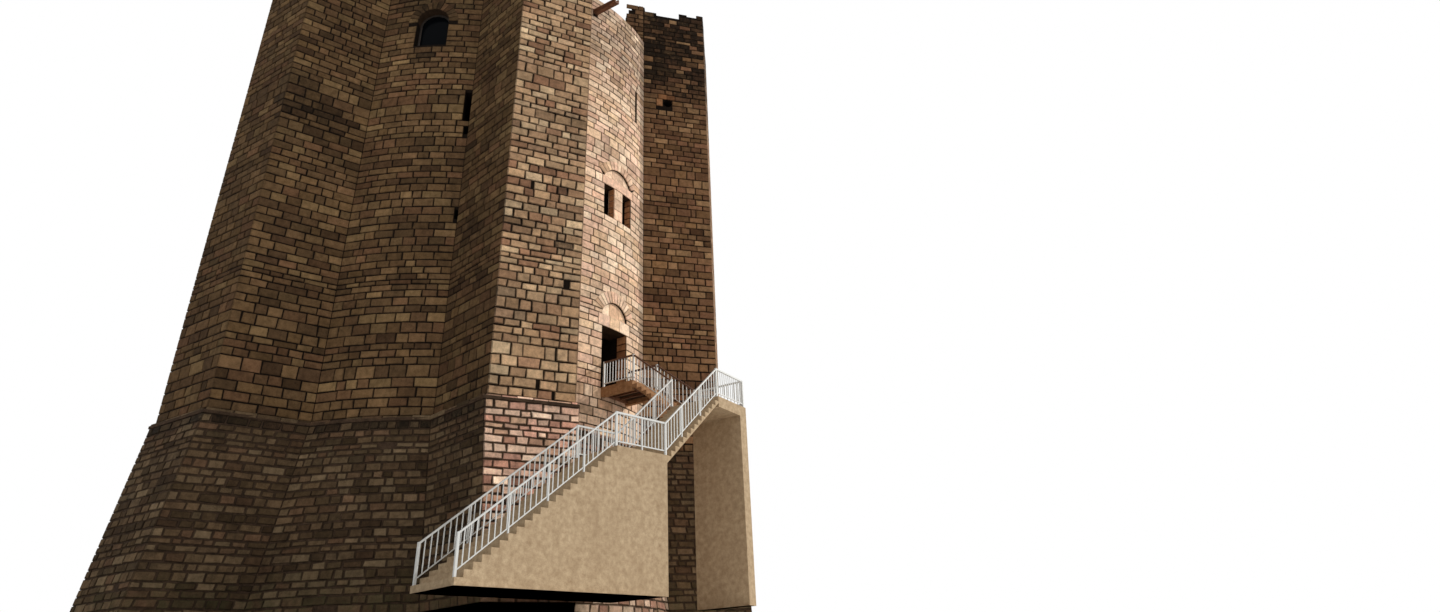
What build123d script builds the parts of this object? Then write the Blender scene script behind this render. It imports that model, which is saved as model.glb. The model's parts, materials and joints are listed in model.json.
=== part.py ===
"""Round stone castle keep with six tapering buttresses, a battered plinth and an outside stair.

The axis of the keep is Z, level ground is Z = 0 and the door faces -Y. Azimuths are degrees
about Z, counted from the door (-Y) towards +X. All lengths are millimetres.
"""

from build123d import *
import math
import os

# Plan of the masonry
DRUM_RADIUS = 9500.0
INNER_RADIUS = 4750.0
FLOOR_LEDGE = 150.0
ROOM_SIDES = 36
BUTTRESS_COUNT = 6
BUTTRESS_ROOT_WIDTH = 5330.0
BUTTRESS_NOSE_WIDTH = 3140.0
BUTTRESS_REACH = 12390.0
BOND_DEPTH = 300.0

# Levels above the ground
STRING_LEVEL = 6440.0
STRING_FACE = 100.0
STRING_WEATHERING = 100.0
ENTRANCE_LEVEL = 8600.0
HALL_LEVEL = 15800.0
CHAMBER_LEVEL = 22950.0
WALK_LEVEL = 28100.0
PARAPET_LEVEL = 29200.0
TURRET_LEVEL = 31800.0
FLOOR_THICKNESS = 350.0
FLOOR_GAP = 0.3

# Batter of the plinth, as run for each unit of height
PLINTH_OFFSET = 120.0
STRING_PROJECTION = 180.0
PLINTH_FACETS = 12
DRUM_BATTER = 0.144
NOSE_BATTER = 0.153
FLANK_BATTER = 0.024

# Wall head and roof
PARAPET_THICKNESS = 900.0
TURRET_INNER_RADIUS = 7300.0
ROOF_OVERLAP = 700.0
ROOF_THICKNESS = 260.0
ROOF_RISE = 1500.0

# Broken head of one turret, as strips across its width from one flank to the other. Each strip
# has its two edges as shares of half the root width, and then its steps from the wall walk to
# the nose, each with the share of its length where it ends and the share of the height of its top.
RUIN_INNER_RADIUS = 8170.0
WORN_FLANK = [(0.031, 0.67), (0.069, 0.85), (0.237, 0.99), (0.389, 0.885)]
RUIN_STRIPS = [
    (-2.0, -0.26, [*WORN_FLANK, (0.686, 0.82), (0.793, 0.97), (0.919, 0.93), (1.0, 0.99)]),
    (-0.26, 0.28, [(0.659, 0.16), (0.820, 0.30), (1.0, 0.74)]),
    (0.28, 2.0, [(0.326, 0.50), (0.596, 0.34), (0.820, 0.48), (1.0, 0.62)]),
]

# Doorway
DOOR_WIDTH = 1640.0
DOOR_CENTRE = -120.0
DOOR_HEIGHT = 2760.0
DOOR_LINTEL_HEIGHT = 540.0
DOOR_LINTEL_BEARING = 260.0
DOOR_LINTEL_DEPTH = 1000.0
DOOR_ARCH_RISE = 500.0
DOOR_ARCH_STILT = 200.0
DOOR_ARCH_RING = 500.0

# Twin window above the door
LIGHT_WIDTH = 670.0
MULLION_WIDTH = 614.0
MULLION_DEPTH = 350.0
TWIN_CENTRE = -55.0
TWIN_SILL = 16800.0
LIGHT_HEIGHT = 1600.0
TWIN_LINTEL_HEIGHT = 450.0
TWIN_LINTEL_BEARING = 150.0
TWIN_ARCH_RISE = 560.0
TWIN_ARCH_STILT = 60.0
TWIN_ARCH_RING = 410.0
ARCH_DEPTH = 600.0
TYMPANUM_RECESS = 70.0

# Round-headed window in the bay to the left of the door
ROUND_WIDTH = 1458.0
ROUND_CENTRE = 66.0
ROUND_SILL = 23950.0
ROUND_SPRINGING = 25360.0
ROUND_RING = 400.0
ROUND_FRAME_FACE = 90.0
ROUND_FRAME_DEPTH = 90.0
ROUND_FRAME_SETBACK = 380.0
GLASS_THICKNESS = 16.0

# Loops, which are narrow slits
FLANK_LOOP_WIDTH = 300.0
FLANK_LOOP_SILL = 19730.0
FLANK_LOOP_HEIGHT = 1560.0
FLANK_SLOT_WIDTH = 200.0
FLANK_SLOT_SILL = 19050.0
FLANK_SLOT_HEIGHT = 430.0
FLANK_SLIT_WIDTH = 150.0
FLANK_SLIT_SILL = 14850.0
FLANK_SLIT_HEIGHT = 450.0
CHAMBER_LOOP_SIDE = 433.0
CHAMBER_LOOP_WIDTH = 150.0
CHAMBER_LOOP_SILL = 23400.0
CHAMBER_LOOP_HEIGHT = 1850.0
LOOP_WALL_WIDTH = 800.0
LOOP_WALL_MARGIN = 450.0

# Worn hole in the flank of the ruined buttress, by its distance from the axis
HOLE_DISTANCE = 10380.0
HOLE_LEVEL = 25270.0
HOLE_WIDTH = 480.0
HOLE_DEPTH = 550.0

# Drain spout through the parapet
SPOUT_WIDTH = 260.0
SPOUT_SIDE_CLEARANCE = 150.0
SPOUT_HEIGHT = 240.0
SPOUT_REACH = 1750.0
SPOUT_CHANNEL = 130.0
SPOUT_FALL = 400.0

# Outside stair
STAIR_WIDTH = 2200.0
STAIR_CLEARANCE = 520.0
LOWER_TURN = 12.0
DOOR_LANDING_REACH = 1600.0
DOOR_LANDING_LEFT = -940.0
DOOR_LANDING_RIGHT = 850.0
TOP_LANDING_LEVEL = 7120.0
TOP_LANDING_RIGHT = 1060.0
MID_LANDING_LEVEL = 4310.0
MID_LANDING_RIGHT = -4320.0
MID_LANDING_LENGTH = 2130.0
LOWER_RISERS = 22
LOWER_GOING = 250.0
MIDDLE_RISERS = 14
UPPER_RISERS = 8
WAIST = 200.0
LANDING_THICKNESS = 200.0
LANDING_BEAM_WIDTH = 180.0
LANDING_BEAM_DEPTH = 200.0
PIER_THICKNESS = 450.0

# Balustrades
RAIL_HEIGHT = 1100.0
RAIL_SIZE = 60.0
BOTTOM_RAIL_HEIGHT = 130.0
BOTTOM_RAIL_SIZE = 40.0
BALUSTER_SIZE = 26.0
LEVEL_PITCH = 150.0
RAKED_PITCH = 178.0
NEWEL_SIZE = 70.0
BAY_POST_SIZE = 45.0
BAY_TREADS = 5
RAIL_INSET = 40.0

# Values worked out from the sizes above
BAY_STEP = 360.0 / BUTTRESS_COUNT
ROOT_ANGLE = math.degrees(math.asin(BUTTRESS_ROOT_WIDTH / 2 / DRUM_RADIUS))
BAY_HALF_ANGLE = BAY_STEP / 2 - ROOT_ANGLE
ROOT_FACE = DRUM_RADIUS * math.cos(math.radians(ROOT_ANGLE))
FLANK_TAPER = (BUTTRESS_ROOT_WIDTH - BUTTRESS_NOSE_WIDTH) / 2 / (BUTTRESS_REACH - ROOT_FACE)
PARAPET_FACE = DRUM_RADIUS - PARAPET_THICKNESS
SPOUT_CENTRE = SPOUT_SIDE_CLEARANCE + SPOUT_WIDTH / 2
SPOUT_AZIMUTH = math.degrees(math.asin(SPOUT_CENTRE / DRUM_RADIUS)) - BAY_HALF_ANGLE
WALL_BASE = STRING_LEVEL + STRING_FACE + STRING_WEATHERING
ENTRANCE_RADIUS = INNER_RADIUS + FLOOR_LEDGE
HALL_RADIUS = ENTRANCE_RADIUS + FLOOR_LEDGE
CHAMBER_RADIUS = HALL_RADIUS + FLOOR_LEDGE
DOOR_LEFT = DOOR_CENTRE - DOOR_WIDTH / 2
DOOR_RIGHT = DOOR_CENTRE + DOOR_WIDTH / 2
DOOR_HEAD = ENTRANCE_LEVEL + DOOR_HEIGHT
DOOR_LINTEL_TOP = DOOR_HEAD + DOOR_LINTEL_HEIGHT
TWIN_LEFT = TWIN_CENTRE - MULLION_WIDTH / 2 - LIGHT_WIDTH
TWIN_RIGHT = TWIN_CENTRE + MULLION_WIDTH / 2 + LIGHT_WIDTH
ENTRANCE_STRIP_LEFT = min(DOOR_LEFT, TWIN_LEFT)
ENTRANCE_STRIP_RIGHT = max(DOOR_RIGHT, TWIN_RIGHT)
CHAMBER_LOOP_CENTRE = ENTRANCE_STRIP_RIGHT + CHAMBER_LOOP_SIDE
CHAMBER_LOOP_AZIMUTH = math.degrees(math.asin(CHAMBER_LOOP_CENTRE / DRUM_RADIUS))
LIGHT_HEAD = TWIN_SILL + LIGHT_HEIGHT
TWIN_LINTEL_TOP = LIGHT_HEAD + TWIN_LINTEL_HEIGHT
ROUND_LEFT = ROUND_CENTRE - ROUND_WIDTH / 2
ROUND_RIGHT = ROUND_CENTRE + ROUND_WIDTH / 2
ARCH_BACK = -(DRUM_RADIUS - ARCH_DEPTH)
FOOT_REACH = BUTTRESS_REACH + PLINTH_OFFSET + NOSE_BATTER * STRING_LEVEL
FOOT_SIDE = PLINTH_OFFSET + FLANK_BATTER * STRING_LEVEL
FOOT_HALF_ROOT = BUTTRESS_ROOT_WIDTH / 2 + FOOT_SIDE * math.hypot(1, FLANK_TAPER)
FOOT_HALF_NOSE = FOOT_HALF_ROOT - FLANK_TAPER * (FOOT_REACH - ROOT_FACE)
HALF_STEP = math.radians(BAY_STEP / 2)
FOOT_CORNER = FOOT_REACH * math.cos(HALF_STEP) + FOOT_HALF_NOSE * math.sin(HALF_STEP)
STAIR_BACK = FOOT_CORNER + STAIR_CLEARANCE
STAIR_FRONT = STAIR_BACK + STAIR_WIDTH
MID_LANDING_LEFT = MID_LANDING_RIGHT - MID_LANDING_LENGTH
LOWER_FOOT = MID_LANDING_LEFT - LOWER_RISERS * LOWER_GOING
FAR = 2 * TURRET_LEVEL


def block(x0, x1, y0, y1, z0, z1):
    """Box between two opposite corners."""
    return Pos((x0 + x1) / 2, (y0 + y1) / 2, (z0 + z1) / 2) * Box(x1 - x0, y1 - y0, z1 - z0)


def turned(shape, azimuth):
    """Turn a shape made in the door's frame to another azimuth."""
    return Rot(0, 0, azimuth) * shape


def outline(points, plane=Plane.XY):
    """Flat face inside a closed line through the points."""
    return make_face(plane * Polyline(*points, close=True))


def tapered(lower, upper):
    """Solid between two level outlines whose matching edges are parallel, so its sides are flat."""
    sides = []
    for index in range(len(lower)):
        after = (index + 1) % len(lower)
        corners = [lower[index], lower[after], upper[after], upper[index]]
        sides.append(Face(Wire.make_polygon(corners)))
    ends = [Face(Wire.make_polygon(points)) for points in (lower, upper)]
    return Solid(Shell(sides + ends))


def pie(half_angle, top):
    """Piece of a full round drum between two azimuths, from the string course up."""
    section = [(0, WALL_BASE), (DRUM_RADIUS, WALL_BASE), (DRUM_RADIUS, top), (0, top)]
    wedge = revolve(outline(section, Plane.XZ), Axis.Z, revolution_arc=2 * half_angle)
    return Rot(0, 0, -90 - half_angle) * wedge


def room(radius, low, high):
    """Many-sided prism about the axis, as wide as a room or a floor."""
    return Pos(0, 0, low) * extrude(RegularPolygon(radius, ROOM_SIDES), high - low)


def rooms():
    """Space inside the drum, wider by a ledge at each floor, with the wall walk on top."""
    levels = [0, ENTRANCE_LEVEL, HALL_LEVEL, CHAMBER_LEVEL, WALK_LEVEL + FLOOR_THICKNESS]
    radii = [INNER_RADIUS, ENTRANCE_RADIUS, HALL_RADIUS, CHAMBER_RADIUS]
    space = room(PARAPET_FACE, WALK_LEVEL, FAR)
    for index, radius in enumerate(radii):
        low = levels[index] - FLOOR_THICKNESS
        space += room(radius, low, levels[index + 1] - FLOOR_THICKNESS)
    return space


def drum_wall(half_angle, top):
    """Wall of the drum between two azimuths, with its ledges and its parapet."""
    return pie(half_angle, top) - rooms()


def buttress_corners(level, inner, side=0.0, nose=0.0):
    """Corners of a buttress at a level, from an inner line, grown sideways and outwards."""
    reach = BUTTRESS_REACH + nose
    half_root = BUTTRESS_ROOT_WIDTH / 2 + side * math.hypot(1, FLANK_TAPER)
    half_inner = half_root + FLANK_TAPER * (ROOT_FACE - inner)
    half_nose = half_root - FLANK_TAPER * (reach - ROOT_FACE)
    return [
        (-half_inner, -inner, level),
        (-half_nose, -reach, level),
        (half_nose, -reach, level),
        (half_inner, -inner, level),
    ]


def drum_corners(level, radius):
    """Corners of one sixth of the many-sided foot of the drum at a level."""
    corners = [(0, 0, level)]
    for index in range(PLINTH_FACETS + 1):
        turn = math.radians(BAY_STEP * (index / PLINTH_FACETS - 0.5))
        corners.append((radius * math.sin(turn), -radius * math.cos(turn), level))
    return corners


def plinth(azimuth):
    """One sixth of the battered base, with a buttress foot and its string course."""
    bond = ROOT_FACE - BOND_DEPTH
    side = PLINTH_OFFSET + FLANK_BATTER * STRING_LEVEL
    nose = PLINTH_OFFSET + NOSE_BATTER * STRING_LEVEL
    drum = DRUM_RADIUS + PLINTH_OFFSET + DRUM_BATTER * STRING_LEVEL
    face = STRING_LEVEL + STRING_FACE
    stages = [
        (0, drum, side, nose),
        (STRING_LEVEL, DRUM_RADIUS + PLINTH_OFFSET, PLINTH_OFFSET, PLINTH_OFFSET),
        (STRING_LEVEL, DRUM_RADIUS + STRING_PROJECTION, STRING_PROJECTION, STRING_PROJECTION),
        (face, DRUM_RADIUS + STRING_PROJECTION, STRING_PROJECTION, STRING_PROJECTION),
        (face, DRUM_RADIUS + STRING_PROJECTION, STRING_PROJECTION, STRING_PROJECTION),
        (WALL_BASE, DRUM_RADIUS, 0, 0),
    ]
    shape = None
    for lower, upper in zip(stages[::2], stages[1::2]):
        pieces = [tapered(drum_corners(*lower[:2]), drum_corners(*upper[:2]))]
        foot = [buttress_corners(level, bond, *grown) for level, _, *grown in (lower, upper)]
        pieces.append(tapered(*foot))
        for piece in pieces:
            shape = piece if shape is None else shape + piece
    return turned(shape - room(INNER_RADIUS, -FAR, FAR), azimuth)


def buttress(azimuth, top):
    """Buttress with the drum wall behind it, carried up as a turret above the wall head."""
    shape = drum_wall(ROOT_ANGLE, PARAPET_LEVEL)
    corners = buttress_corners(WALL_BASE, ROOT_FACE)
    shape += tapered(corners, buttress_corners(PARAPET_LEVEL, ROOT_FACE))
    half_inner = TURRET_INNER_RADIUS * math.tan(math.radians(ROOT_ANGLE))
    head = [(-half_inner, -TURRET_INNER_RADIUS), *[(x, y) for x, y, _ in corners]]
    head.append((half_inner, -TURRET_INNER_RADIUS))
    plan = outline(head, Plane.XY.offset(WALK_LEVEL))
    shape += extrude(plan, top - WALK_LEVEL, dir=(0, 0, 1))
    return turned(shape, azimuth)


def flank_hole(azimuth):
    """Round hole worn into the left flank of a buttress."""
    x = FLANK_TAPER * (HOLE_DISTANCE - ROOT_FACE) - BUTTRESS_ROOT_WIDTH / 2
    face = Plane((x, -HOLE_DISTANCE, HOLE_LEVEL), x_dir=(0, 0, 1), z_dir=(1, FLANK_TAPER, 0))
    return turned(face * Cylinder(HOLE_WIDTH / 2, 2 * HOLE_DEPTH), azimuth)


def turret_ruin(azimuth):
    """Broken head of the ruined turret, ragged along one flank and lower behind it."""
    height = TURRET_LEVEL - PARAPET_LEVEL
    reach = BUTTRESS_REACH - RUIN_INNER_RADIUS
    half_root = BUTTRESS_ROOT_WIDTH / 2
    shape = None
    for left, right, steps in RUIN_STRIPS:
        points = [(-RUIN_INNER_RADIUS, PARAPET_LEVEL)]
        start = -RUIN_INNER_RADIUS
        for out, up in steps:
            stop = -RUIN_INNER_RADIUS - out * reach
            points += [(start, PARAPET_LEVEL + up * height), (stop, PARAPET_LEVEL + up * height)]
            start = stop
        points.append((start, PARAPET_LEVEL))
        ragged = extrude(outline(points, Plane.YZ), (right - left) * half_root, dir=(1, 0, 0))
        ragged = Pos(left * half_root, 0, 0) * ragged
        shape = ragged if shape is None else shape + ragged
    levels = (PARAPET_LEVEL, TURRET_LEVEL)
    low, high = (buttress_corners(level, RUIN_INNER_RADIUS) for level in levels)
    return turned(shape & tapered(low, high), azimuth)


def arch_centre(chord, rise, springing):
    """Radius and centre height of a segmental arch."""
    radius = (chord * chord / 4 + rise * rise) / (2 * rise)
    return radius, springing + rise - radius


def arch_faces(centre_x, chord, rise, springing, ring, bed):
    """Ring of a relieving arch and the filling under it, as faces in the XZ plane."""
    radius, centre_z = arch_centre(chord, rise, springing)
    spread = math.asin((springing - centre_z) / radius)

    def at(distance, side):
        x = centre_x + side * distance * math.cos(spread)
        return (x, centre_z + distance * math.sin(spread))

    outer = radius + ring
    crown = (centre_x, centre_z + radius)
    ring_edges = [
        ThreePointArc(at(radius, -1), crown, at(radius, 1)),
        Line(at(radius, 1), at(outer, 1)),
        ThreePointArc(at(outer, 1), (centre_x, centre_z + outer), at(outer, -1)),
        Line(at(outer, -1), at(radius, -1)),
    ]
    left, right = at(radius, -1), at(radius, 1)
    filling_edges = [
        ThreePointArc(left, crown, right),
        Line(right, (right[0], bed)),
        Line((right[0], bed), (left[0], bed)),
        Line((left[0], bed), left),
    ]
    return Plane.XZ * make_face(ring_edges), Plane.XZ * make_face(filling_edges)


def through(face, front, back):
    """Extrude a face of the XZ plane from one Y to another."""
    return Pos(0, back, 0) * extrude(face, back - front, dir=(0, -1, 0))


def drum_skin(recess=0.0):
    """Solid drum, used to trim what lies flush with the curved wall face or behind it."""
    return Pos(0, 0, TURRET_LEVEL / 2) * Cylinder(DRUM_RADIUS - recess, TURRET_LEVEL)


def radial_block(azimuth, left, right, low, high):
    """Block that runs out from the axis between two lines beside a radial line."""
    return turned(block(left, right, -FAR, 0, low, high), azimuth)


def bay_wall():
    """Wall of one bay between two buttresses, with no opening."""
    return drum_wall(BAY_HALF_ANGLE, PARAPET_LEVEL)


def strip(wall, x0, x1, z0, z1):
    """Part of a bay between two upright planes and two levels."""
    return wall & block(x0, x1, -FAR, 0, z0, z1)


def door_pieces():
    """Lintel, tympanum and relieving arch over the doorway."""
    ring, filling = arch_faces(
        DOOR_CENTRE,
        DOOR_WIDTH,
        DOOR_ARCH_RISE,
        DOOR_LINTEL_TOP + DOOR_ARCH_STILT,
        DOOR_ARCH_RING,
        DOOR_LINTEL_TOP,
    )
    lintel = block(
        DOOR_LEFT - DOOR_LINTEL_BEARING,
        DOOR_RIGHT + DOOR_LINTEL_BEARING,
        -FAR,
        -(DRUM_RADIUS - DOOR_LINTEL_DEPTH),
        DOOR_HEAD,
        DOOR_LINTEL_TOP,
    )
    return {
        "door_lintel": lintel,
        "door_tympanum": through(filling, -FAR, ARCH_BACK),
        "door_arch": through(ring, -FAR, ARCH_BACK),
    }


def twin_window_pieces():
    """Mullion, lintel, tympanum and relieving arch of the twin window."""
    ring, filling = arch_faces(
        TWIN_CENTRE,
        TWIN_RIGHT - TWIN_LEFT,
        TWIN_ARCH_RISE,
        TWIN_LINTEL_TOP + TWIN_ARCH_STILT,
        TWIN_ARCH_RING,
        TWIN_LINTEL_TOP,
    )
    lintel = block(
        TWIN_LEFT - TWIN_LINTEL_BEARING,
        TWIN_RIGHT + TWIN_LINTEL_BEARING,
        -FAR,
        ARCH_BACK,
        LIGHT_HEAD,
        TWIN_LINTEL_TOP,
    )
    mullion = block(
        TWIN_CENTRE - MULLION_WIDTH / 2,
        TWIN_CENTRE + MULLION_WIDTH / 2,
        -FAR,
        -(DRUM_RADIUS - MULLION_DEPTH),
        TWIN_SILL,
        LIGHT_HEAD,
    )
    return {
        "twin_window_mullion": mullion,
        "twin_window_lintel": lintel,
        "twin_window_tympanum": through(filling, -FAR, ARCH_BACK),
        "twin_window_arch": through(ring, -FAR, ARCH_BACK),
    }


def entrance_bay():
    """Entrance bay, split beside and over its doorway and twin window."""
    pieces = {**door_pieces(), **twin_window_pieces()}
    half_spout = SPOUT_WIDTH / 2
    spout_hole = block(
        -half_spout, half_spout, -FAR, -PARAPET_FACE, WALK_LEVEL, WALK_LEVEL + SPOUT_HEIGHT
    )
    loop_head = CHAMBER_LOOP_SILL + CHAMBER_LOOP_HEIGHT
    half_loop, half_panel = CHAMBER_LOOP_WIDTH / 2, LOOP_WALL_WIDTH / 2
    cuts = [
        *pieces.values(),
        block(DOOR_LEFT, DOOR_RIGHT, -FAR, 0, ENTRANCE_LEVEL, DOOR_LINTEL_TOP),
        block(TWIN_LEFT, TWIN_RIGHT, -FAR, 0, TWIN_SILL, TWIN_LINTEL_TOP),
        radial_block(CHAMBER_LOOP_AZIMUTH, -half_loop, half_loop, CHAMBER_LOOP_SILL, loop_head),
        turned(spout_hole, SPOUT_AZIMUTH),
    ]
    wall = bay_wall()
    for cut in cuts:
        wall -= cut
    panel = radial_block(
        CHAMBER_LOOP_AZIMUTH,
        -half_panel,
        half_panel,
        CHAMBER_LOOP_SILL - LOOP_WALL_MARGIN,
        loop_head + LOOP_WALL_MARGIN,
    )
    rest = wall - panel
    left, right = ENTRANCE_STRIP_LEFT, ENTRANCE_STRIP_RIGHT
    nodes = {
        "entrance_bay_left": strip(rest, -FAR, left, 0, FAR),
        "entrance_bay_right": strip(rest, right, FAR, 0, FAR),
        "entrance_sill_wall": strip(rest, left, right, 0, ENTRANCE_LEVEL),
        "door_jamb_left": strip(rest, left, DOOR_LEFT, ENTRANCE_LEVEL, DOOR_LINTEL_TOP),
        "door_jamb_right": strip(rest, DOOR_RIGHT, right, ENTRANCE_LEVEL, DOOR_LINTEL_TOP),
        "entrance_middle_wall": strip(rest, left, right, DOOR_LINTEL_TOP, TWIN_SILL),
        "entrance_upper_wall": strip(rest, left, right, TWIN_SILL, FAR),
        "entrance_loop_wall": wall & panel,
    }
    for name, piece in pieces.items():
        recess = TYMPANUM_RECESS if name.endswith("tympanum") else 0.0
        nodes[name] = piece & drum_skin(recess)
    return nodes


def round_head_face(radius, sill):
    """Outline of a round-headed window in the XZ plane."""
    left = (ROUND_CENTRE - radius, ROUND_SPRINGING)
    right = (ROUND_CENTRE + radius, ROUND_SPRINGING)
    edges = [
        Line((left[0], sill), (right[0], sill)),
        Line((right[0], sill), right),
        ThreePointArc(right, (ROUND_CENTRE, ROUND_SPRINGING + radius), left),
        Line(left, (left[0], sill)),
    ]
    return Plane.XZ * make_face(edges)


def window_bay(azimuth):
    """Bay with the round-headed window, and with the loops beside the buttress."""
    radius = ROUND_WIDTH / 2
    outer = round_head_face(radius, ROUND_SILL)
    opening = through(outer, -FAR, 0)
    hood = through(round_head_face(radius + ROUND_RING, ROUND_SILL), -FAR, ARCH_BACK)
    ring = strip(hood, -FAR, FAR, ROUND_SPRINGING, FAR) - opening
    slits = [
        (FLANK_LOOP_WIDTH, FLANK_LOOP_SILL, FLANK_LOOP_HEIGHT),
        (FLANK_SLOT_WIDTH, FLANK_SLOT_SILL, FLANK_SLOT_HEIGHT),
        (FLANK_SLIT_WIDTH, FLANK_SLIT_SILL, FLANK_SLIT_HEIGHT),
    ]
    wall = bay_wall() - opening - ring
    for width, sill, height in slits:
        wall -= radial_block(BAY_HALF_ANGLE, -width, FAR, sill, sill + height)
    panel = radial_block(
        BAY_HALF_ANGLE,
        -LOOP_WALL_WIDTH,
        FAR,
        FLANK_SLIT_SILL - LOOP_WALL_MARGIN,
        FLANK_LOOP_SILL + FLANK_LOOP_HEIGHT + LOOP_WALL_MARGIN,
    )
    right_side = strip(wall, ROUND_RIGHT, FAR, 0, FAR)
    light = round_head_face(radius - ROUND_FRAME_FACE, ROUND_SILL + ROUND_FRAME_FACE)
    front = -(DRUM_RADIUS - ROUND_FRAME_SETBACK)
    back = front + ROUND_FRAME_DEPTH
    pane = (front + back - GLASS_THICKNESS) / 2
    nodes = {
        "window_bay_left": strip(wall, -FAR, ROUND_LEFT, 0, FAR),
        "window_bay_right": right_side - panel,
        "window_bay_loop_wall": right_side & panel,
        "window_bay_sill_wall": strip(wall, ROUND_LEFT, ROUND_RIGHT, 0, ROUND_SILL),
        "window_bay_upper_wall": strip(wall, ROUND_LEFT, ROUND_RIGHT, ROUND_SPRINGING, FAR),
        "round_window_arch": ring & drum_skin(),
        "round_window_frame": through(outer, front, back) - through(light, front, back),
        "round_window_glass": through(light, pane, pane + GLASS_THICKNESS),
    }
    return {name: turned(piece, azimuth) for name, piece in nodes.items()}


def floor(radius, level):
    """Floor that fits inside the wall, where its ledge or the ground carries it."""
    return room(radius - FLOOR_GAP, level - FLOOR_THICKNESS, level)


def roof():
    """Low many-sided roof over the top chamber, seated on the wall walk."""
    eaves = CHAMBER_RADIUS + ROOF_OVERLAP
    bearing = CHAMBER_RADIUS - FLOOR_LEDGE
    apex = WALK_LEVEL + ROOF_RISE
    turns = [math.tau * index / ROOM_SIDES for index in range(ROOM_SIDES)]

    def ring(radius, level):
        return [(radius * math.cos(turn), radius * math.sin(turn), level) for turn in turns]

    def pyramid(lower, top):
        sides = [
            Face(Wire.make_polygon([lower[index - 1], lower[index], (0, 0, top)]))
            for index in range(ROOM_SIDES)
        ]
        return Solid(Shell(sides + [Face(Wire.make_polygon(lower))]))

    upper = pyramid(ring(eaves, WALK_LEVEL + ROOF_THICKNESS), apex + ROOF_THICKNESS)
    kerb = room(eaves, WALK_LEVEL, WALK_LEVEL + ROOF_THICKNESS)
    return upper + kerb - pyramid(ring(bearing, WALK_LEVEL), apex)


def spout():
    """Drain spout that carries rain from the wall walk out through the parapet."""
    inner = -PARAPET_FACE
    outer = -(DRUM_RADIUS + SPOUT_REACH)
    top = WALK_LEVEL + SPOUT_HEIGHT

    def beam(half_width, bottom, head):
        face = -DRUM_RADIUS
        side = [
            (inner, bottom),
            (face, bottom),
            (outer, bottom - SPOUT_FALL),
            (outer, head - SPOUT_FALL),
            (face, head),
            (inner, head),
        ]
        return extrude(outline(side, Plane.YZ), half_width, both=True)

    shape = beam(SPOUT_WIDTH / 2, WALK_LEVEL, top)
    shape -= beam(SPOUT_CHANNEL / 2, top - SPOUT_CHANNEL, top + SPOUT_CHANNEL)
    return turned(shape, SPOUT_AZIMUTH)


def step_points(start, level, risers, run, rise):
    """Risers and treads of a flight, whose nosings lie on a line from its start to its end."""
    points = []
    for step in range(risers):
        x = start + (step + 1) * run / risers
        points.append((x, level + step * rise / risers))
        points.append((x, level + (step + 1) * rise / risers))
    return points


def slab_face(start, level, risers, run, rise, plane):
    """Side of a flight that hangs as a sloping slab between two landings."""
    drop = WAIST / math.cos(math.atan2(rise, run))
    under = [(start + run, level + rise - drop), (start, level - drop)]
    steps = step_points(start, level, risers, run, rise)
    return outline([(start, level)] + steps + under, plane)


def bent(shape):
    """Lower part of the stair, turned towards the keep about the corner of its landing."""
    hinge = Pos(MID_LANDING_RIGHT, -STAIR_FRONT, 0)
    return hinge * Rot(0, 0, -LOWER_TURN) * hinge.inverse() * shape


def lower_flight():
    """Flight from the ground to the middle landing, solid down to the ground."""
    run = MID_LANDING_LEFT - LOWER_FOOT
    steps = step_points(LOWER_FOOT, 0, LOWER_RISERS, run, MID_LANDING_LEVEL)
    face = outline(steps + [(MID_LANDING_LEFT, 0)], Plane.XZ)
    return bent(through(face, -STAIR_FRONT, -STAIR_BACK))


def middle_flight():
    """Flight between the two landings, a sloping slab with steps."""
    run = DOOR_LANDING_LEFT - MID_LANDING_RIGHT
    rise = TOP_LANDING_LEVEL - MID_LANDING_LEVEL
    face = slab_face(MID_LANDING_RIGHT, MID_LANDING_LEVEL, MIDDLE_RISERS, run, rise, Plane.XZ)
    return through(face, -STAIR_FRONT, -STAIR_BACK)


def upper_flight():
    """Flight from the top landing straight up to the landing at the door."""
    run = STAIR_BACK - DRUM_RADIUS - DOOR_LANDING_REACH
    rise = ENTRANCE_LEVEL - TOP_LANDING_LEVEL
    face = slab_face(-STAIR_BACK, TOP_LANDING_LEVEL, UPPER_RISERS, run, rise, Plane.YZ)
    width = DOOR_LANDING_RIGHT - DOOR_LANDING_LEFT
    return Pos(DOOR_LANDING_LEFT, 0, 0) * extrude(face, width, dir=(1, 0, 0))


def mid_landing():
    """Middle landing on its solid base, a wedge in plan where the stair bends."""
    right = MID_LANDING_RIGHT + STAIR_WIDTH
    base = block(MID_LANDING_LEFT, right, -STAIR_FRONT, -STAIR_BACK, 0, MID_LANDING_LEVEL)
    return bent(base) & block(-FAR, MID_LANDING_RIGHT, -FAR, 0, 0, FAR)


def top_landing():
    """Top landing, a slab on a cross wall at its outer end."""
    under = TOP_LANDING_LEVEL - LANDING_THICKNESS - LANDING_BEAM_DEPTH
    slab = block(
        DOOR_LANDING_LEFT,
        TOP_LANDING_RIGHT,
        -STAIR_FRONT,
        -STAIR_BACK,
        under,
        TOP_LANDING_LEVEL,
    )
    pier_left = TOP_LANDING_RIGHT - PIER_THICKNESS
    return slab + block(pier_left, TOP_LANDING_RIGHT, -STAIR_FRONT, -STAIR_BACK, 0, under)


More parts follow.
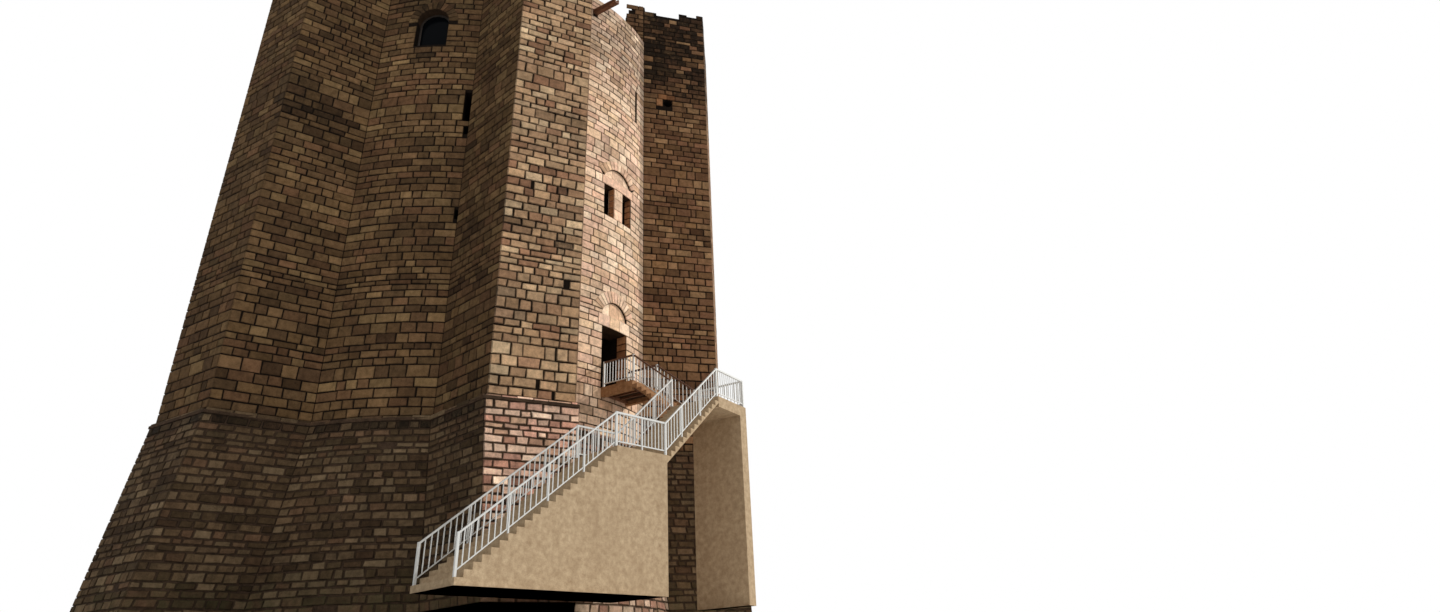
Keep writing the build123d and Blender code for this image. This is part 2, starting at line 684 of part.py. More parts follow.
def door_landing():
    """Landing at the doorway, a slab on beams that run out from the wall."""
    edge = -(DRUM_RADIUS + DOOR_LANDING_REACH)
    under = ENTRANCE_LEVEL - LANDING_THICKNESS
    left, right = DOOR_LANDING_LEFT, DOOR_LANDING_RIGHT
    shape = block(left, right, edge, -ROOT_FACE, under, ENTRANCE_LEVEL)
    for x in (left, right - LANDING_BEAM_WIDTH):
        beam_end = x + LANDING_BEAM_WIDTH
        shape += block(x, beam_end, edge, -ROOT_FACE, under - LANDING_BEAM_DEPTH, under)
    return shape - drum_skin()


def balustrade(points, plane, feet=(), end_post=True):
    """Balustrade along a bent line of step edges, with bay posts standing at the given feet."""
    low = BOTTOM_RAIL_HEIGHT + BOTTOM_RAIL_SIZE
    high = RAIL_HEIGHT - RAIL_SIZE
    panel = None
    for (x0, z0), (x1, z1) in zip(points, points[1:]):
        slope = (z1 - z0) / (x1 - x0)
        count = round(abs(x1 - x0) / (LEVEL_PITCH if z0 == z1 else RAKED_PITCH))
        pitch = (x1 - x0) / count

        def above(x, height):
            return x, z0 + slope * (x - x0) + height

        def quad(a, b, foot, head):
            return outline([above(a, foot), above(b, foot), above(b, head), above(a, head)], plane)

        face = quad(x0, x1, BOTTOM_RAIL_HEIGHT, RAIL_HEIGHT)
        half_gap = (pitch - math.copysign(BALUSTER_SIZE, pitch)) / 2
        gaps = [x0 + (index + 0.5) * pitch for index in range(count)]
        face -= [quad(mid - half_gap, mid + half_gap, low, high) for mid in gaps]
        web = extrude(face, BALUSTER_SIZE / 2, both=True)
        rail = extrude(quad(x0, x1, high, RAIL_HEIGHT), RAIL_SIZE / 2, both=True)
        piece = web + rail
        for x, z in feet:
            if x0 < x < x1:
                side, top = x + BAY_POST_SIZE, high + RAIL_SIZE / 2
                post = [(x, z), (side, z), above(side, top), above(x, top)]
                piece += extrude(outline(post, plane), BAY_POST_SIZE / 2, both=True)
        panel = piece if panel is None else panel + piece
    for x, z in points if end_post else points[:-1]:
        post = [
            (x - NEWEL_SIZE / 2, z),
            (x + NEWEL_SIZE / 2, z),
            (x + NEWEL_SIZE / 2, z + RAIL_HEIGHT),
            (x - NEWEL_SIZE / 2, z + RAIL_HEIGHT),
        ]
        panel += extrude(outline(post, plane), NEWEL_SIZE / 2, both=True)
    return panel


def bay_feet(x, level, risers, run, rise):
    """Feet of the bay posts of a flight, a few treads apart, counted down from its head."""
    steps = range(BAY_TREADS, risers - 2, BAY_TREADS)
    return [(x - step * run / risers, level - step * rise / risers) for step in steps]


def long_balustrade(away, head):
    """Balustrade beside the long run, at a distance from its outer edge, up to given points."""
    turn = math.radians(LOWER_TURN)
    run = [
        (LOWER_FOOT + LOWER_GOING + NEWEL_SIZE / 2, MID_LANDING_LEVEL / LOWER_RISERS),
        (MID_LANDING_LEFT, MID_LANDING_LEVEL),
        (MID_LANDING_RIGHT - away * math.sin(turn), MID_LANDING_LEVEL),
    ]
    length = LOWER_RISERS * LOWER_GOING
    feet = bay_feet(MID_LANDING_LEFT, MID_LANDING_LEVEL, LOWER_RISERS, length, MID_LANDING_LEVEL)
    feet.append((MID_LANDING_LEFT + MID_LANDING_LENGTH / 2, MID_LANDING_LEVEL))
    lower = balustrade(run, Plane.XZ.offset(STAIR_FRONT - away * math.cos(turn)), feet, False)
    length, rise = DOOR_LANDING_LEFT - MID_LANDING_RIGHT, TOP_LANDING_LEVEL - MID_LANDING_LEVEL
    feet = bay_feet(DOOR_LANDING_LEFT, TOP_LANDING_LEVEL, MIDDLE_RISERS, length, rise)
    points = [(MID_LANDING_RIGHT, MID_LANDING_LEVEL), (DOOR_LANDING_LEFT, TOP_LANDING_LEVEL)]
    upper = balustrade(points + head, Plane.XZ.offset(STAIR_FRONT - away), feet)
    return upper + bent(lower)


def stair_balustrades():
    """Two bent balustrades beside the long run, and three flat ones at the top."""
    inset = RAIL_INSET + NEWEL_SIZE / 2
    end = TOP_LANDING_RIGHT - inset
    edge = -(DRUM_RADIUS + DOOR_LANDING_REACH)
    wall_end = -(DRUM_RADIUS + inset)
    upper_run = [
        (-STAIR_BACK, TOP_LANDING_LEVEL),
        (edge, ENTRANCE_LEVEL),
        (wall_end, ENTRANCE_LEVEL),
    ]
    left = Plane.YZ.offset(DOOR_LANDING_LEFT + inset)
    right = Plane.YZ.offset(DOOR_LANDING_RIGHT - inset)
    outer = Plane.YZ.offset(end)
    far_end = -(STAIR_FRONT - inset - NEWEL_SIZE)
    return {
        "front_balustrade": long_balustrade(inset, [(end, TOP_LANDING_LEVEL)]),
        "back_balustrade": long_balustrade(STAIR_WIDTH - inset, []),
        "landing_end_balustrade": balustrade(
            [(far_end, TOP_LANDING_LEVEL), (-(STAIR_BACK + inset), TOP_LANDING_LEVEL)], outer
        ),
        "upper_left_balustrade": balustrade(upper_run, left),
        "upper_right_balustrade": balustrade(upper_run, right),
    }


def all_nodes():
    """Every named piece of the keep."""
    nodes = {}
    ruined = 2
    names = ["left", "front", "right", "back_right", "back", "back_left"]
    azimuths = [-90.0 + index * BAY_STEP for index in range(BUTTRESS_COUNT)]
    for index, (name, azimuth) in enumerate(zip(names, azimuths)):
        nodes[f"plinth_{name}"] = plinth(azimuth)
        top = PARAPET_LEVEL if index == ruined else TURRET_LEVEL
        nodes[f"buttress_{name}"] = buttress(azimuth, top)
    nodes[f"buttress_{names[ruined]}"] -= flank_hole(azimuths[ruined])
    nodes["broken_turret"] = turret_ruin(azimuths[ruined])
    nodes.update(entrance_bay())
    nodes.update(window_bay(-BAY_STEP))
    for name, turn in (("right", 1), ("back_right", 2), ("back", 3), ("back_left", 4)):
        nodes[f"bay_{name}"] = turned(bay_wall(), turn * BAY_STEP)
    nodes["basement_floor"] = floor(INNER_RADIUS, FLOOR_THICKNESS)
    nodes["entrance_floor"] = floor(ENTRANCE_RADIUS, ENTRANCE_LEVEL)
    nodes["hall_floor"] = floor(HALL_RADIUS, HALL_LEVEL)
    nodes["chamber_floor"] = floor(CHAMBER_RADIUS, CHAMBER_LEVEL)
    nodes["roof"] = roof()
    nodes["drain_spout"] = spout()
    nodes["lower_flight"] = lower_flight()
    nodes["mid_landing"] = mid_landing()
    nodes["middle_flight"] = middle_flight()
    nodes["top_landing"] = top_landing()
    nodes["upper_flight"] = upper_flight()
    nodes["door_landing"] = door_landing()
    nodes.update(stair_balustrades())
    return nodes


def main():
    """Write one file for each named piece."""
    os.makedirs("parts", exist_ok=True)
    for name, shape in all_nodes().items():
        export_step(shape, f"parts/{name}.step")


main()
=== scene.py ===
"""Round castle keep in coursed ashlar, with worn arches, a cast stair and painted railings.

The frame has the axis of the keep as Z, level ground at Z = 0 and the doorway on -Y. Azimuths
are counted from -Y towards +X. Lengths are metres.
"""

import json
import logging
import math
import random
from dataclasses import dataclass, field
from enum import Enum
from typing import Callable, Protocol

import bmesh
import bpy
from mathutils import Matrix, Vector


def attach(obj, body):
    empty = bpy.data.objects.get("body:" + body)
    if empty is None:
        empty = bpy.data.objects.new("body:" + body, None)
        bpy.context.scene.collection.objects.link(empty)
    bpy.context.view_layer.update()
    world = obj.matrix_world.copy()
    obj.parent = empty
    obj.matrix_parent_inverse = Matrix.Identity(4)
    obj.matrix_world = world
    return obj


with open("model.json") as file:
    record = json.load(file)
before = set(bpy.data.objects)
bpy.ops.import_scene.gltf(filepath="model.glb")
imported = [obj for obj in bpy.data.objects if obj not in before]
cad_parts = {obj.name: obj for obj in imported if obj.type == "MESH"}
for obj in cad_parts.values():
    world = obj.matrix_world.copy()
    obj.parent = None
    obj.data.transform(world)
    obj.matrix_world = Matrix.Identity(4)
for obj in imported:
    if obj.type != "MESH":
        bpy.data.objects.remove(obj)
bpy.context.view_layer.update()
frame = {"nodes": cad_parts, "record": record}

LOG = logging.getLogger("keep")
SEED = 4957
Plan = tuple[float, float]
Colour = tuple[float, float, float]
Edges = tuple[float, float, float, float]
BMesh = bmesh.types.BMesh
Node = bpy.types.Node
Socket = bpy.types.NodeSocket
Tree = bpy.types.NodeTree


def srgb(red: int, green: int, blue: int) -> Colour:
    """Turn a colour of 0 to 255 as seen on a screen into linear light.

    Args:
        red, green, blue: The screen values.

    Returns:
        The linear colour.
    """
    def linear(value: int) -> float:
        """Linear value of one channel."""
        share = value / 255
        return share / 12.92 if share <= 0.04045 else ((share + 0.055) / 1.055) ** 2.4

    return linear(red), linear(green), linear(blue)


def tones(*screen: tuple[int, int, int]) -> tuple[Colour, ...]:
    """Row of colours from their screen values."""
    return tuple(srgb(*colour) for colour in screen)


def turned(point: Plan, azimuth: float) -> Plan:
    """Turn a plan point from the door's frame to another azimuth in degrees.

    Args:
        point: The point, made for azimuth 0.
        azimuth: The turn in degrees.

    Returns:
        The turned point.
    """
    turn = math.radians(azimuth)
    x, y = point
    return x * math.cos(turn) - y * math.sin(turn), x * math.sin(turn) + y * math.cos(turn)


@dataclass(frozen=True)
class KeepSizes:
    """Sizes of the masonry that its dressing follows."""

    drum: float = 9.5
    root_half: float = 2.665
    nose_half: float = 1.57
    reach: float = 12.39
    string_foot: float = 6.44
    string_top: float = 6.64
    string_reach: float = 0.06
    walk: float = 28.1
    parapet: float = 29.2
    turret: float = 31.8
    parapet_face: float = 8.6
    turret_inner: float = 7.3
    offset: float = 0.12
    drum_batter: float = 0.144
    nose_batter: float = 0.153
    flank_batter: float = 0.024

    @property
    def root_face(self) -> float:
        """Distance from the axis to the line where a buttress meets the drum."""
        return math.sqrt(self.drum ** 2 - self.root_half ** 2)

    @property
    def taper(self) -> float:
        """Half width that a buttress loses for each metre of its reach."""
        return (self.root_half - self.nose_half) / (self.reach - self.root_face)

    @property
    def root_angle(self) -> float:
        """Half angle of a buttress at the drum, in degrees."""
        return math.degrees(math.asin(self.root_half / self.drum))

    @property
    def bay_angle(self) -> float:
        """Half angle of the bay between two buttresses, in degrees."""
        return 30.0 - self.root_angle

    @property
    def mitre(self) -> float:
        """Tangent of half the turn at the outer corner of a buttress."""
        return math.tan((math.pi / 2 - math.atan(self.taper)) / 2)

    def flank(self, distance: float, side: float) -> Plan:
        """Point of the right flank at a distance from the axis, with the flank grown by side."""
        half = self.root_half + side * math.hypot(1, self.taper)
        return half - self.taper * (distance - self.root_face), -distance

    def flank_root(self, side: float, radius: float) -> Plan:
        """Point where a grown right flank meets a drum of a radius.

        Args:
            side: How far the flank has grown.
            radius: Radius of the drum.

        Returns:
            The plan point on the right of the buttress.
        """
        distance = radius
        for _ in range(40):
            x, _y = self.flank(distance, side)
            distance = math.sqrt(radius ** 2 - x ** 2)
        return self.flank(distance, side)


SIZES = KeepSizes()


class Wall(Protocol):
    """Face that stones are laid on, measured along it to the right and then upwards."""

    width: float
    low: float
    high: float
    arrises: tuple[float, float]

    def place(self, along: float, height: float, proud: float) -> Vector:
        """Point in the frame of a place on the face."""


@dataclass
class RoundWall:
    """Part of the drum, or of its battered foot, between two azimuths."""

    azimuth: float
    foot: tuple[float, float]
    head: tuple[float, float]
    low: float
    high: float
    arrises: tuple[float, float] = (0.0, 0.0)
    inward: bool = False

    @property
    def width(self) -> float:
        """Length of the wall along its arc at half height."""
        return self.foot[0] * self.foot[1] + self.head[0] * self.head[1]

    def place(self, along: float, height: float, proud: float) -> Vector:
        """Point in the frame of a place on the face.

        Args:
            along: Measure along the face to the right.
            height: Level of the place.
            proud: How far it stands out.

        Returns:
            The point in the frame.
        """
        share = (height - self.low) / (self.high - self.low)
        half = self.foot[1] + (self.head[1] - self.foot[1]) * share
        radius = self.foot[0] + (self.head[0] - self.foot[0]) * share
        side = -1.0 if self.inward else 1.0
        turn = math.radians(self.azimuth) + side * (2 * along / self.width - 1) * half
        radius += side * proud
        return Vector((radius * math.sin(turn), -radius * math.cos(turn), height))


@dataclass
class FlatWall:
    """Flat face between two plan lines, one at its foot and one at its head."""

    foot: tuple[Plan, Plan]
    head: tuple[Plan, Plan]
    low: float
    high: float
    arrises: tuple[float, float] = (0.0, 0.0)
    width: float = field(init=False)
    normal: Vector = field(init=False)

    def __post_init__(self) -> None:
        """Work out the width at half height and the way the face looks."""
        start, stop = (Vector(point) for point in self.foot)
        top_start, top_stop = (Vector(point) for point in self.head)
        self.width = ((stop - start).length + (top_stop - top_start).length) / 2
        across = (stop - start).to_3d().normalized()
        rise = (top_start + top_stop - start - stop).to_3d() / 2
        rise.z = self.high - self.low
        self.normal = across.cross(rise).normalized()

    def place(self, along: float, height: float, proud: float) -> Vector:
        """Point in the frame of a place on the face.

        Args:
            along: Measure along the face to the right.
            height: Level of the place.
            proud: How far it stands out.

        Returns:
            The point in the frame.
        """
        share = (height - self.low) / (self.high - self.low)
        start = Vector(self.foot[0]).lerp(Vector(self.head[0]), share)
        stop = Vector(self.foot[1]).lerp(Vector(self.head[1]), share)
        across = along / self.width
        point = start + (stop - start) * across
        level = Vector((self.normal.x, self.normal.y, 0.0))
        level /= max(level.length_squared, 1e-6)
        return Vector((point.x, point.y, height)) + level * proud * level.length ** -1


class Side(Enum):
    """Face of a buttress, seen from outside."""

    LEFT = "left"
    NOSE = "nose"
    RIGHT = "right"
    BACK = "back"


class Bond(Enum):
    """How a face is coursed."""

    FINE = "fine"
    PLAIN = "plain"
    ROUGH = "rough"
    PLINTH = "plinth"


@dataclass(frozen=True)
class BondSizes:
    """Sizes of the stones and joints of one bond."""

    joint: float
    arris: float
    proud: tuple[float, float]
    length: tuple[float, float]
    wobble: float
    stray: float
    missing: float
    # How much the arrises are darkened: partly wear, partly painted shade along the joints.
    rim: float


BOND_SIZES: dict[Bond, BondSizes] = {
    Bond.FINE: BondSizes(
        joint=0.036, arris=0.015, proud=(0.022, 0.038), length=(0.42, 0.95),
        wobble=0.005, stray=0.008, missing=0.0, rim=0.36,
    ),
    Bond.PLAIN: BondSizes(
        joint=0.046, arris=0.020, proud=(0.026, 0.048), length=(0.38, 0.88),
        wobble=0.007, stray=0.015, missing=0.0, rim=0.30,
    ),
    Bond.ROUGH: BondSizes(
        joint=0.040, arris=0.026, proud=(0.032, 0.052), length=(0.36, 0.84),
        wobble=0.009, stray=0.022, missing=0.0, rim=0.55,
    ),
    Bond.PLINTH: BondSizes(
        joint=0.048, arris=0.022, proud=(0.024, 0.054), length=(0.30, 0.74),
        wobble=0.010, stray=0.020, missing=0.006, rim=0.55,
    ),
}


@dataclass
class Gap:
    """Part of a face that holds no coursed stone, such as an opening and its arch."""

    low: float
    high: float
    edges: Callable[[float], Plan | None]
    domed: bool = False

    @staticmethod
    def oblong(left: float, right: float, low: float, high: float) -> "Gap":
        """Gap with upright sides."""
        return Gap(low, high, lambda level: (left, right) if low <= level <= high else None)

    @staticmethod
    def arched(centre: float, base: float, inner: float, outer: Plan, top: float) -> "Gap":
        """Gap round an arch ring, from its inner springing up to its crown.

        Args:
            centre: Middle of the arch along the face.
            base: Level of the inner springing.
            inner: Half width there.
            outer: Half width and level of the outer springing.
            top: Level of the crown of the ring.

        Returns:
            The gap.
        """
        half, level = outer
        radius = (half ** 2 + (top - level) ** 2) / (2 * (top - level))
        middle = top - radius

        def edges(height: float) -> Plan | None:
            """Left and right edge at a level.

            Args:
                height: Level that is asked for.

            Returns:
                Both edges, or nothing above and below the ring.
            """
            if height < base or height > top:
                return None
            if height < level:
                reach = inner + (half - inner) * (height - base) / (level - base)
            else:
                reach = math.sqrt(max(radius ** 2 - (height - middle) ** 2, 0.0))
            return centre - reach, centre + reach

        return Gap(base, top, edges, True)


@dataclass
class Spot:
    """Place on the walls whose stones are blackened or bleached."""

    centre: tuple[float, float, float]
    radius: float
    depth: float

    def at(self, point: Vector) -> float:
        """Strength of the spot at a point."""
        distance = (point - Vector(self.centre)).length / self.radius
        return self.depth * max(0.0, 1 - distance) ** 0.6


SPOTS = [
    Spot((-8.3, -4.6, 23.7), 0.8, 0.9),
    Spot((-8.2, -4.8, 27.6), 2.6, 0.85),
    Spot((3.9, -11.0, 29.8), 3.6, 1.0),
    Spot((3.4, -10.6, 26.9), 1.9, 0.9),
    Spot((-12.0, -1.9, 20.2), 1.5, 1.0),
    Spot((-10.6, -2.5, 19.2), 1.1, 0.9),
    Spot((-7.4, -9.1, 6.3), 1.8, 0.5),
    Spot((-5.6, -7.8, 21.6), 0.9, 0.8),
    Spot((-11.2, -4.2, 28.6), 2.0, 0.7),
    Spot((2.3, -9.2, 25.6), 1.2, 0.5),
    Spot((-5.5, -11.1, 13.0), 0.6, 1.0),
    Spot((-7.0, -10.3, 10.1), 0.9, 0.6),
    Spot((-7.1, -10.2, 13.7), 0.8, 0.5),
    Spot((-5.5, -11.1, 15.3), 0.5, 0.9),
    Spot((-5.6, -11.1, 19.0), 0.7, 0.5),
]
BLEACHED = [
    Spot((-8.3, -4.6, 22.7), 1.9, 0.7),
    Spot((-10.4, -2.4, 16.0), 1.6, 0.4),
    Spot((3.2, -10.4, 31.0), 0.9, 0.6),
]
RUIN_SHARES = (0.05, 0.3, 0.65, 0.8, 0.92, 1.0, 1.05, 1.15)
BURIED = 0.02
ARRIS_RISE = 0.7
LEAST_STONE = 0.05
LEAST_COURSE = 0.06
TOP_SLACK = 0.06
CORNER_RUN = 1.2
BED_PROBE = 0.005
THINNEST = 0.02
SPAN_OVERLAP = 0.2
LEVEL_SLACK = 0.01
ARRIS_SLACK = 0.001
FOOT_SLOPE = 0.1
BEND_CUTS = 8
SAME_TINT = 0.3
COURSE_SHARE = 0.35


def climbed(level: float, foot: float, run: float) -> float:
    """Share of a run above its foot that a level has climbed, from 0 to 1."""
    return max(0.0, min(1.0, (level - foot) / run))


@dataclass
class Courses:
    """Levels of the bed joints, shared by all faces so that the courses run round the keep."""

    low: list[float] = field(default_factory=list)
    high: list[float] = field(default_factory=list)

    def __post_init__(self) -> None:
        """Set out the courses of the base, and those of the walls and turrets."""
        dice = random.Random(SEED)
        self.low = self.filled(dice, [0.0], SIZES.string_foot, 0.27, 0.05)
        seen = [SIZES.string_top, 6.98, 7.34, 7.72, 8.1, 8.6, 8.9, 9.2, 9.46, 9.86, 10.3]
        seen += [10.7, 11.0, 11.36, 11.65, 11.9, 12.1, 12.36]
        levels = self.filled(dice, seen, 15.4, 0.33, 0.06)
        levels += [15.8, 16.15, 16.5, 16.8, 17.1, 17.4, 17.75, 18.08, 18.4, 18.85, 19.1]
        levels += [19.45, 19.75, 20.12, 20.6, 21.1, 21.4, 21.68]
        levels = self.filled(dice, levels, SIZES.parapet, 0.31, 0.05)
        self.high = self.filled(dice, levels, SIZES.turret, 0.30, 0.05)

    @staticmethod
    def filled(
        dice: random.Random,
        start: list[float],
        stop: float,
        mean: float,
        spread: float,
    ) -> list[float]:
        """Go on with courses from the last level up to a stop.

        Args:
            dice: Source of the uneven heights.
            start: Levels so far.
            stop: Level that the last course reaches.
            mean: Usual height of a course.
            spread: How far a course may differ from it.

        Returns:
            All levels, the stop among them.
        """
        levels = list(start)
        base = levels[-1]
        count = max(1, round((stop - base) / mean))
        heights = [mean + dice.uniform(-spread, spread) * dice.choice((1, 1, 1.6)) for _ in range(count)]
        scale = (stop - base) / sum(heights)
        for height in heights:
            base += height * scale
            levels.append(base)
        levels[-1] = stop
        return levels


COURSES = Courses()


@dataclass
class Masonry:
    """Stones laid on one or more faces, gathered into one piece."""

    name: str
    finish: str
    slot: str
    dice: random.Random = field(init=False)
    mesh: BMesh = field(init=False)

    def __post_init__(self) -> None:
        """Start an empty piece with its own dice."""
        self.dice = random.Random(f"{SEED}{self.name}")
        self.mesh = bmesh.new()
        self.mesh.faces.layers.float_color.new("stone")

    def stone(self, bed: BMesh, corners: list[Plan], proud: float, wobble: float, tone: Plan) -> None:
        """Cut one stone on a flat bed, from its four corners in the order of the clock reversed.

        Args:
            bed: Mesh in the flat measures of the face.
            corners: Low left, low right, high right and high left corner.
            proud: How far the face of the stone stands out.
            wobble: How far its corners may stray.
            tone: Colour choice and lightness of the stone.
        """
        layer = bed.faces.layers.float_color["stone"]
        made = bmesh.ops.create_cube(bed, size=1.0)["verts"]
        places = {(-1, -1): corners[0], (1, -1): corners[1], (1, 1): corners[2], (-1, 1): corners[3]}
        lean = {key: self.dice.uniform(-wobble, wobble) for key in places}
        faces = set()
        for vert in made:
            key = (1 if vert.co.x > 0 else -1, 1 if vert.co.y > 0 else -1)
            x, y = places[key]
            front = vert.co.z > 0
            vert.co = Vector((x, y, proud + lean[key] if front else -BURIED))
            faces.update(vert.link_faces)
        for face in faces:
            face[layer] = (tone[0], tone[1], 0.0, 1.0)

    @staticmethod
    def free(wall: Wall, low: float, high: float, gaps: list[Gap]) -> list[tuple[Plan, Plan]]:
        """Find the parts of a course that no gap takes.

        Args:
            wall: Face that is laid.
            low, high: Levels of the course.
            gaps: Places that stay free.

        Returns:
            The left and right end of each part, each at the foot and the head of the course.
        """
        spans = [((0.0, 0.0), (wall.width, wall.width))]
        middle = (low + high) / 2
        for gap in gaps:
            at = gap.edges(middle) or (gap.edges(high - LEAST_STONE) if gap.low > middle else None)
            if at is None:
                continue
            below = gap.edges(low + BED_PROBE) or at
            crown = ((at[0] + at[1]) / 2,) * 2 if gap.domed and gap.high < high else at
            above = gap.edges(high - BED_PROBE) or crown
            cut = []
            for left, right in spans:
                if max(below[0], above[0]) > left[0] + LEAST_STONE:
                    cut.append((left, (min(right[0], below[0]), min(right[1], above[0]))))
                if min(below[1], above[1]) < right[0] - LEAST_STONE:
                    cut.append(((max(left[0], below[1]), max(left[1], above[1])), right))
            spans = [
                span for span in cut
                if min(span[1][0] - span[0][0], span[1][1] - span[0][1]) > -SPAN_OVERLAP
            ]
        return spans

    def course(
        self,
        bed: BMesh,
        wall: Wall,
        levels: Plan,
        sizes: BondSizes,
        gaps: list[Gap],
        joints: list[float],
        number: int,
    ) -> list[float]:
        """Lay one course between the gaps.

        Args:
            bed: Mesh in the flat measures of the face.
            wall: Face that is laid.
            levels: Foot and head of the course.
            sizes: Sizes of the bond.
            gaps: Places that stay free.
            joints: Upright joints of the course below.
            number: Count of the course, for the turn of the corner stones.

        Returns:
            The upright joints of this course.
        """
        low, high = levels
        spans = self.free(wall, low, high, gaps)
        made = []
        common = (self.dice.random(), self.dice.random())
        half = sizes.joint / 2
        for left, right in spans:
            start, stop = min(left), max(right)
            cuts = self.lengths(start, stop, sizes, joints, number, wall)
            for first, last in zip(cuts, cuts[1:]):
                shift = [self.dice.uniform(-sizes.stray, sizes.stray) for _ in range(8)]
                lows = [first + half + shift[0], last - half + shift[1]]
                highs = [first + half + shift[2], last - half + shift[3]]
                if first == start:
                    grow = 0.0 if wall.arrises[0] and start == 0.0 else half
                    lows[0], highs[0] = left[0] + grow, left[1] + grow
                if last == stop:
                    grow = 0.0 if wall.arrises[1] and stop >= wall.width else half
                    lows[1], highs[1] = right[0] - grow, right[1] - grow
                if lows[1] - lows[0] < LEAST_STONE and highs[1] - highs[0] < LEAST_STONE:
                    continue
                lows[1], highs[1] = max(lows[1], lows[0] + THINNEST), max(highs[1], highs[0] + THINNEST)
                inner = first != 0.0 and last != wall.width
                if inner and self.dice.random() < sizes.missing:
                    continue
                foot = [low + half + shift[4], low + half + shift[5]] if low > LEVEL_SLACK else [low, low]
                head = [high - half + shift[6], high - half + shift[7]]
                if high >= SIZES.turret - LEVEL_SLACK:
                    head = [high, high]
                corners = [(lows[0], foot[0]), (lows[1], foot[1]), (highs[1], head[1]), (highs[0], head[0])]
                proud = self.dice.uniform(*sizes.proud)
                if not inner:
                    proud = sum(sizes.proud) / 2
                tint = common[0] if self.dice.random() < SAME_TINT else self.dice.random()
                tone = (tint, (1 - COURSE_SHARE) * self.dice.random() + COURSE_SHARE * common[1])
                wobble = sizes.wobble if inner else 0.0
                self.stone(bed, corners, proud - sizes.arris * ARRIS_RISE, wobble, tone)
            made += cuts[1:-1]
        return made

    def lengths(
        self,
        start: float,
        stop: float,
        sizes: BondSizes,
        joints: list[float],
        number: int,
        wall: Wall,
    ) -> list[float]:
        """Set out the upright joints of a course, off those of the course below.

        Args:
            start, stop: Ends of the part of the course.
            sizes: Sizes of the bond.
            joints: Upright joints of the course below.
            number: Count of the course, for the turn of the corner stones.
            wall: Face that is laid.

        Returns:
            The joints, both ends among them.
        """
        marks = [start]
        short, long = sizes.length
        if wall.arrises[0] and start == 0.0 and stop - start > CORNER_RUN:
            marks.append(start + (short * 0.95 if number % 2 else long * 0.82))
        tail = stop
        if wall.arrises[1] and stop >= wall.width and stop - start > CORNER_RUN:
            tail = stop - (long * 0.82 if number % 2 else short * 0.95)
        while tail - marks[-1] > long:
            step = self.dice.uniform(short, long)
            for _ in range(3):
                if all(abs(marks[-1] + step - joint) > 0.09 for joint in joints):
                    break
                step = self.dice.uniform(short, long)
            if tail - marks[-1] - step < short * 0.7:
                step = (tail - marks[-1]) / 2
            marks.append(marks[-1] + step)
        if tail < stop:
            marks.append(tail)
        marks.append(stop)
        return marks

    def lay(
        self,
        wall: Wall,
        bond: Bond,
        gaps: list[Gap] | None = None,
        top: Callable[[float], float] | None = None,
    ) -> None:
        """Lay all courses of a face.

        Args:
            wall: Face that is laid.
            bond: How it is coursed.
            gaps: Places that stay free.
            top: Height of the broken top along the face, if it has one.
        """
        bed = self.bed()
        sizes = BOND_SIZES[bond]
        levels = COURSES.low if wall.high <= SIZES.string_foot + LEVEL_SLACK else COURSES.high
        joints: list[float] = []
        for number, (low, high) in enumerate(zip(levels, levels[1:])):
            low, high = max(low, wall.low), min(high, wall.high)
            if high - low < LEAST_COURSE:
                continue
            joints = self.course(bed, wall, (low, high), sizes, gaps or [], joints, number)
        if top:
            self.drop(bed, top)
        self.finish_bed(bed, wall, sizes.arris, sizes.rim)

    @staticmethod
    def drop(bed: BMesh, top: Callable[[float], float]) -> None:
        """Take out the stones above a broken top.

        Args:
            bed: Stones in the flat measures of the face.
            top: Height of the broken top along the face.
        """
        lost = []
        for face in bed.faces:
            if min(vert.co.z for vert in face.verts) <= 0:
                continue
            middle = face.calc_center_median()
            high = max(vert.co.y for vert in face.verts)
            if high > top(middle.x) + TOP_SLACK:
                lost += face.verts
        whole = {other for vert in lost for edge in vert.link_edges for other in edge.verts}
        bmesh.ops.delete(bed, geom=list(whole), context="VERTS")

    @staticmethod
    def bed() -> BMesh:
        """Empty mesh for stones in the flat measures of a face.

        Returns:
            The mesh, with the layer for the tone of each stone.
        """
        bed = bmesh.new()
        bed.faces.layers.float_color.new("stone")
        return bed

    def finish_bed(self, bed: BMesh, wall: Wall, arris: float, rim: float = 0.34, bend: bool = False) -> None:
        """Wear the arrises, blacken the stones, darken the arrises as painted shade along the joints, and set
        them on the face.

        Args:
            bed: Stones in the flat measures of the face.
            wall: Face that they are set on.
            arris: Width of the worn arris.
            rim: How much blacker the arris is than the face.
            bend: Whether long stones are cut so that they follow a round wall.
        """
        fronts = [face for face in bed.faces if min(vert.co.z for vert in face.verts) > 0]
        bmesh.ops.inset_individual(bed, faces=fronts, thickness=arris, depth=0, use_even_offset=True)
        for face in fronts:
            for vert in face.verts:
                vert.co.z += arris * ARRIS_RISE
        self.toned(bed, wall, fronts, rim)
        if bend:
            self.cut(bed)
        for vert in bed.verts:
            x, y, proud = vert.co
            proud = min(proud, FOOT_SLOPE * y) if proud > 0 else proud
            if wall.arrises[0] and x < ARRIS_SLACK:
                x -= proud * wall.arrises[0]
            if wall.arrises[1] and x > wall.width - ARRIS_SLACK:
                x += proud * wall.arrises[1]
            vert.co = wall.place(x, y, proud)
        part = bpy.data.meshes.new("part")
        bed.to_mesh(part)
        bed.free()
        self.mesh.from_mesh(part)
        bpy.data.meshes.remove(part)

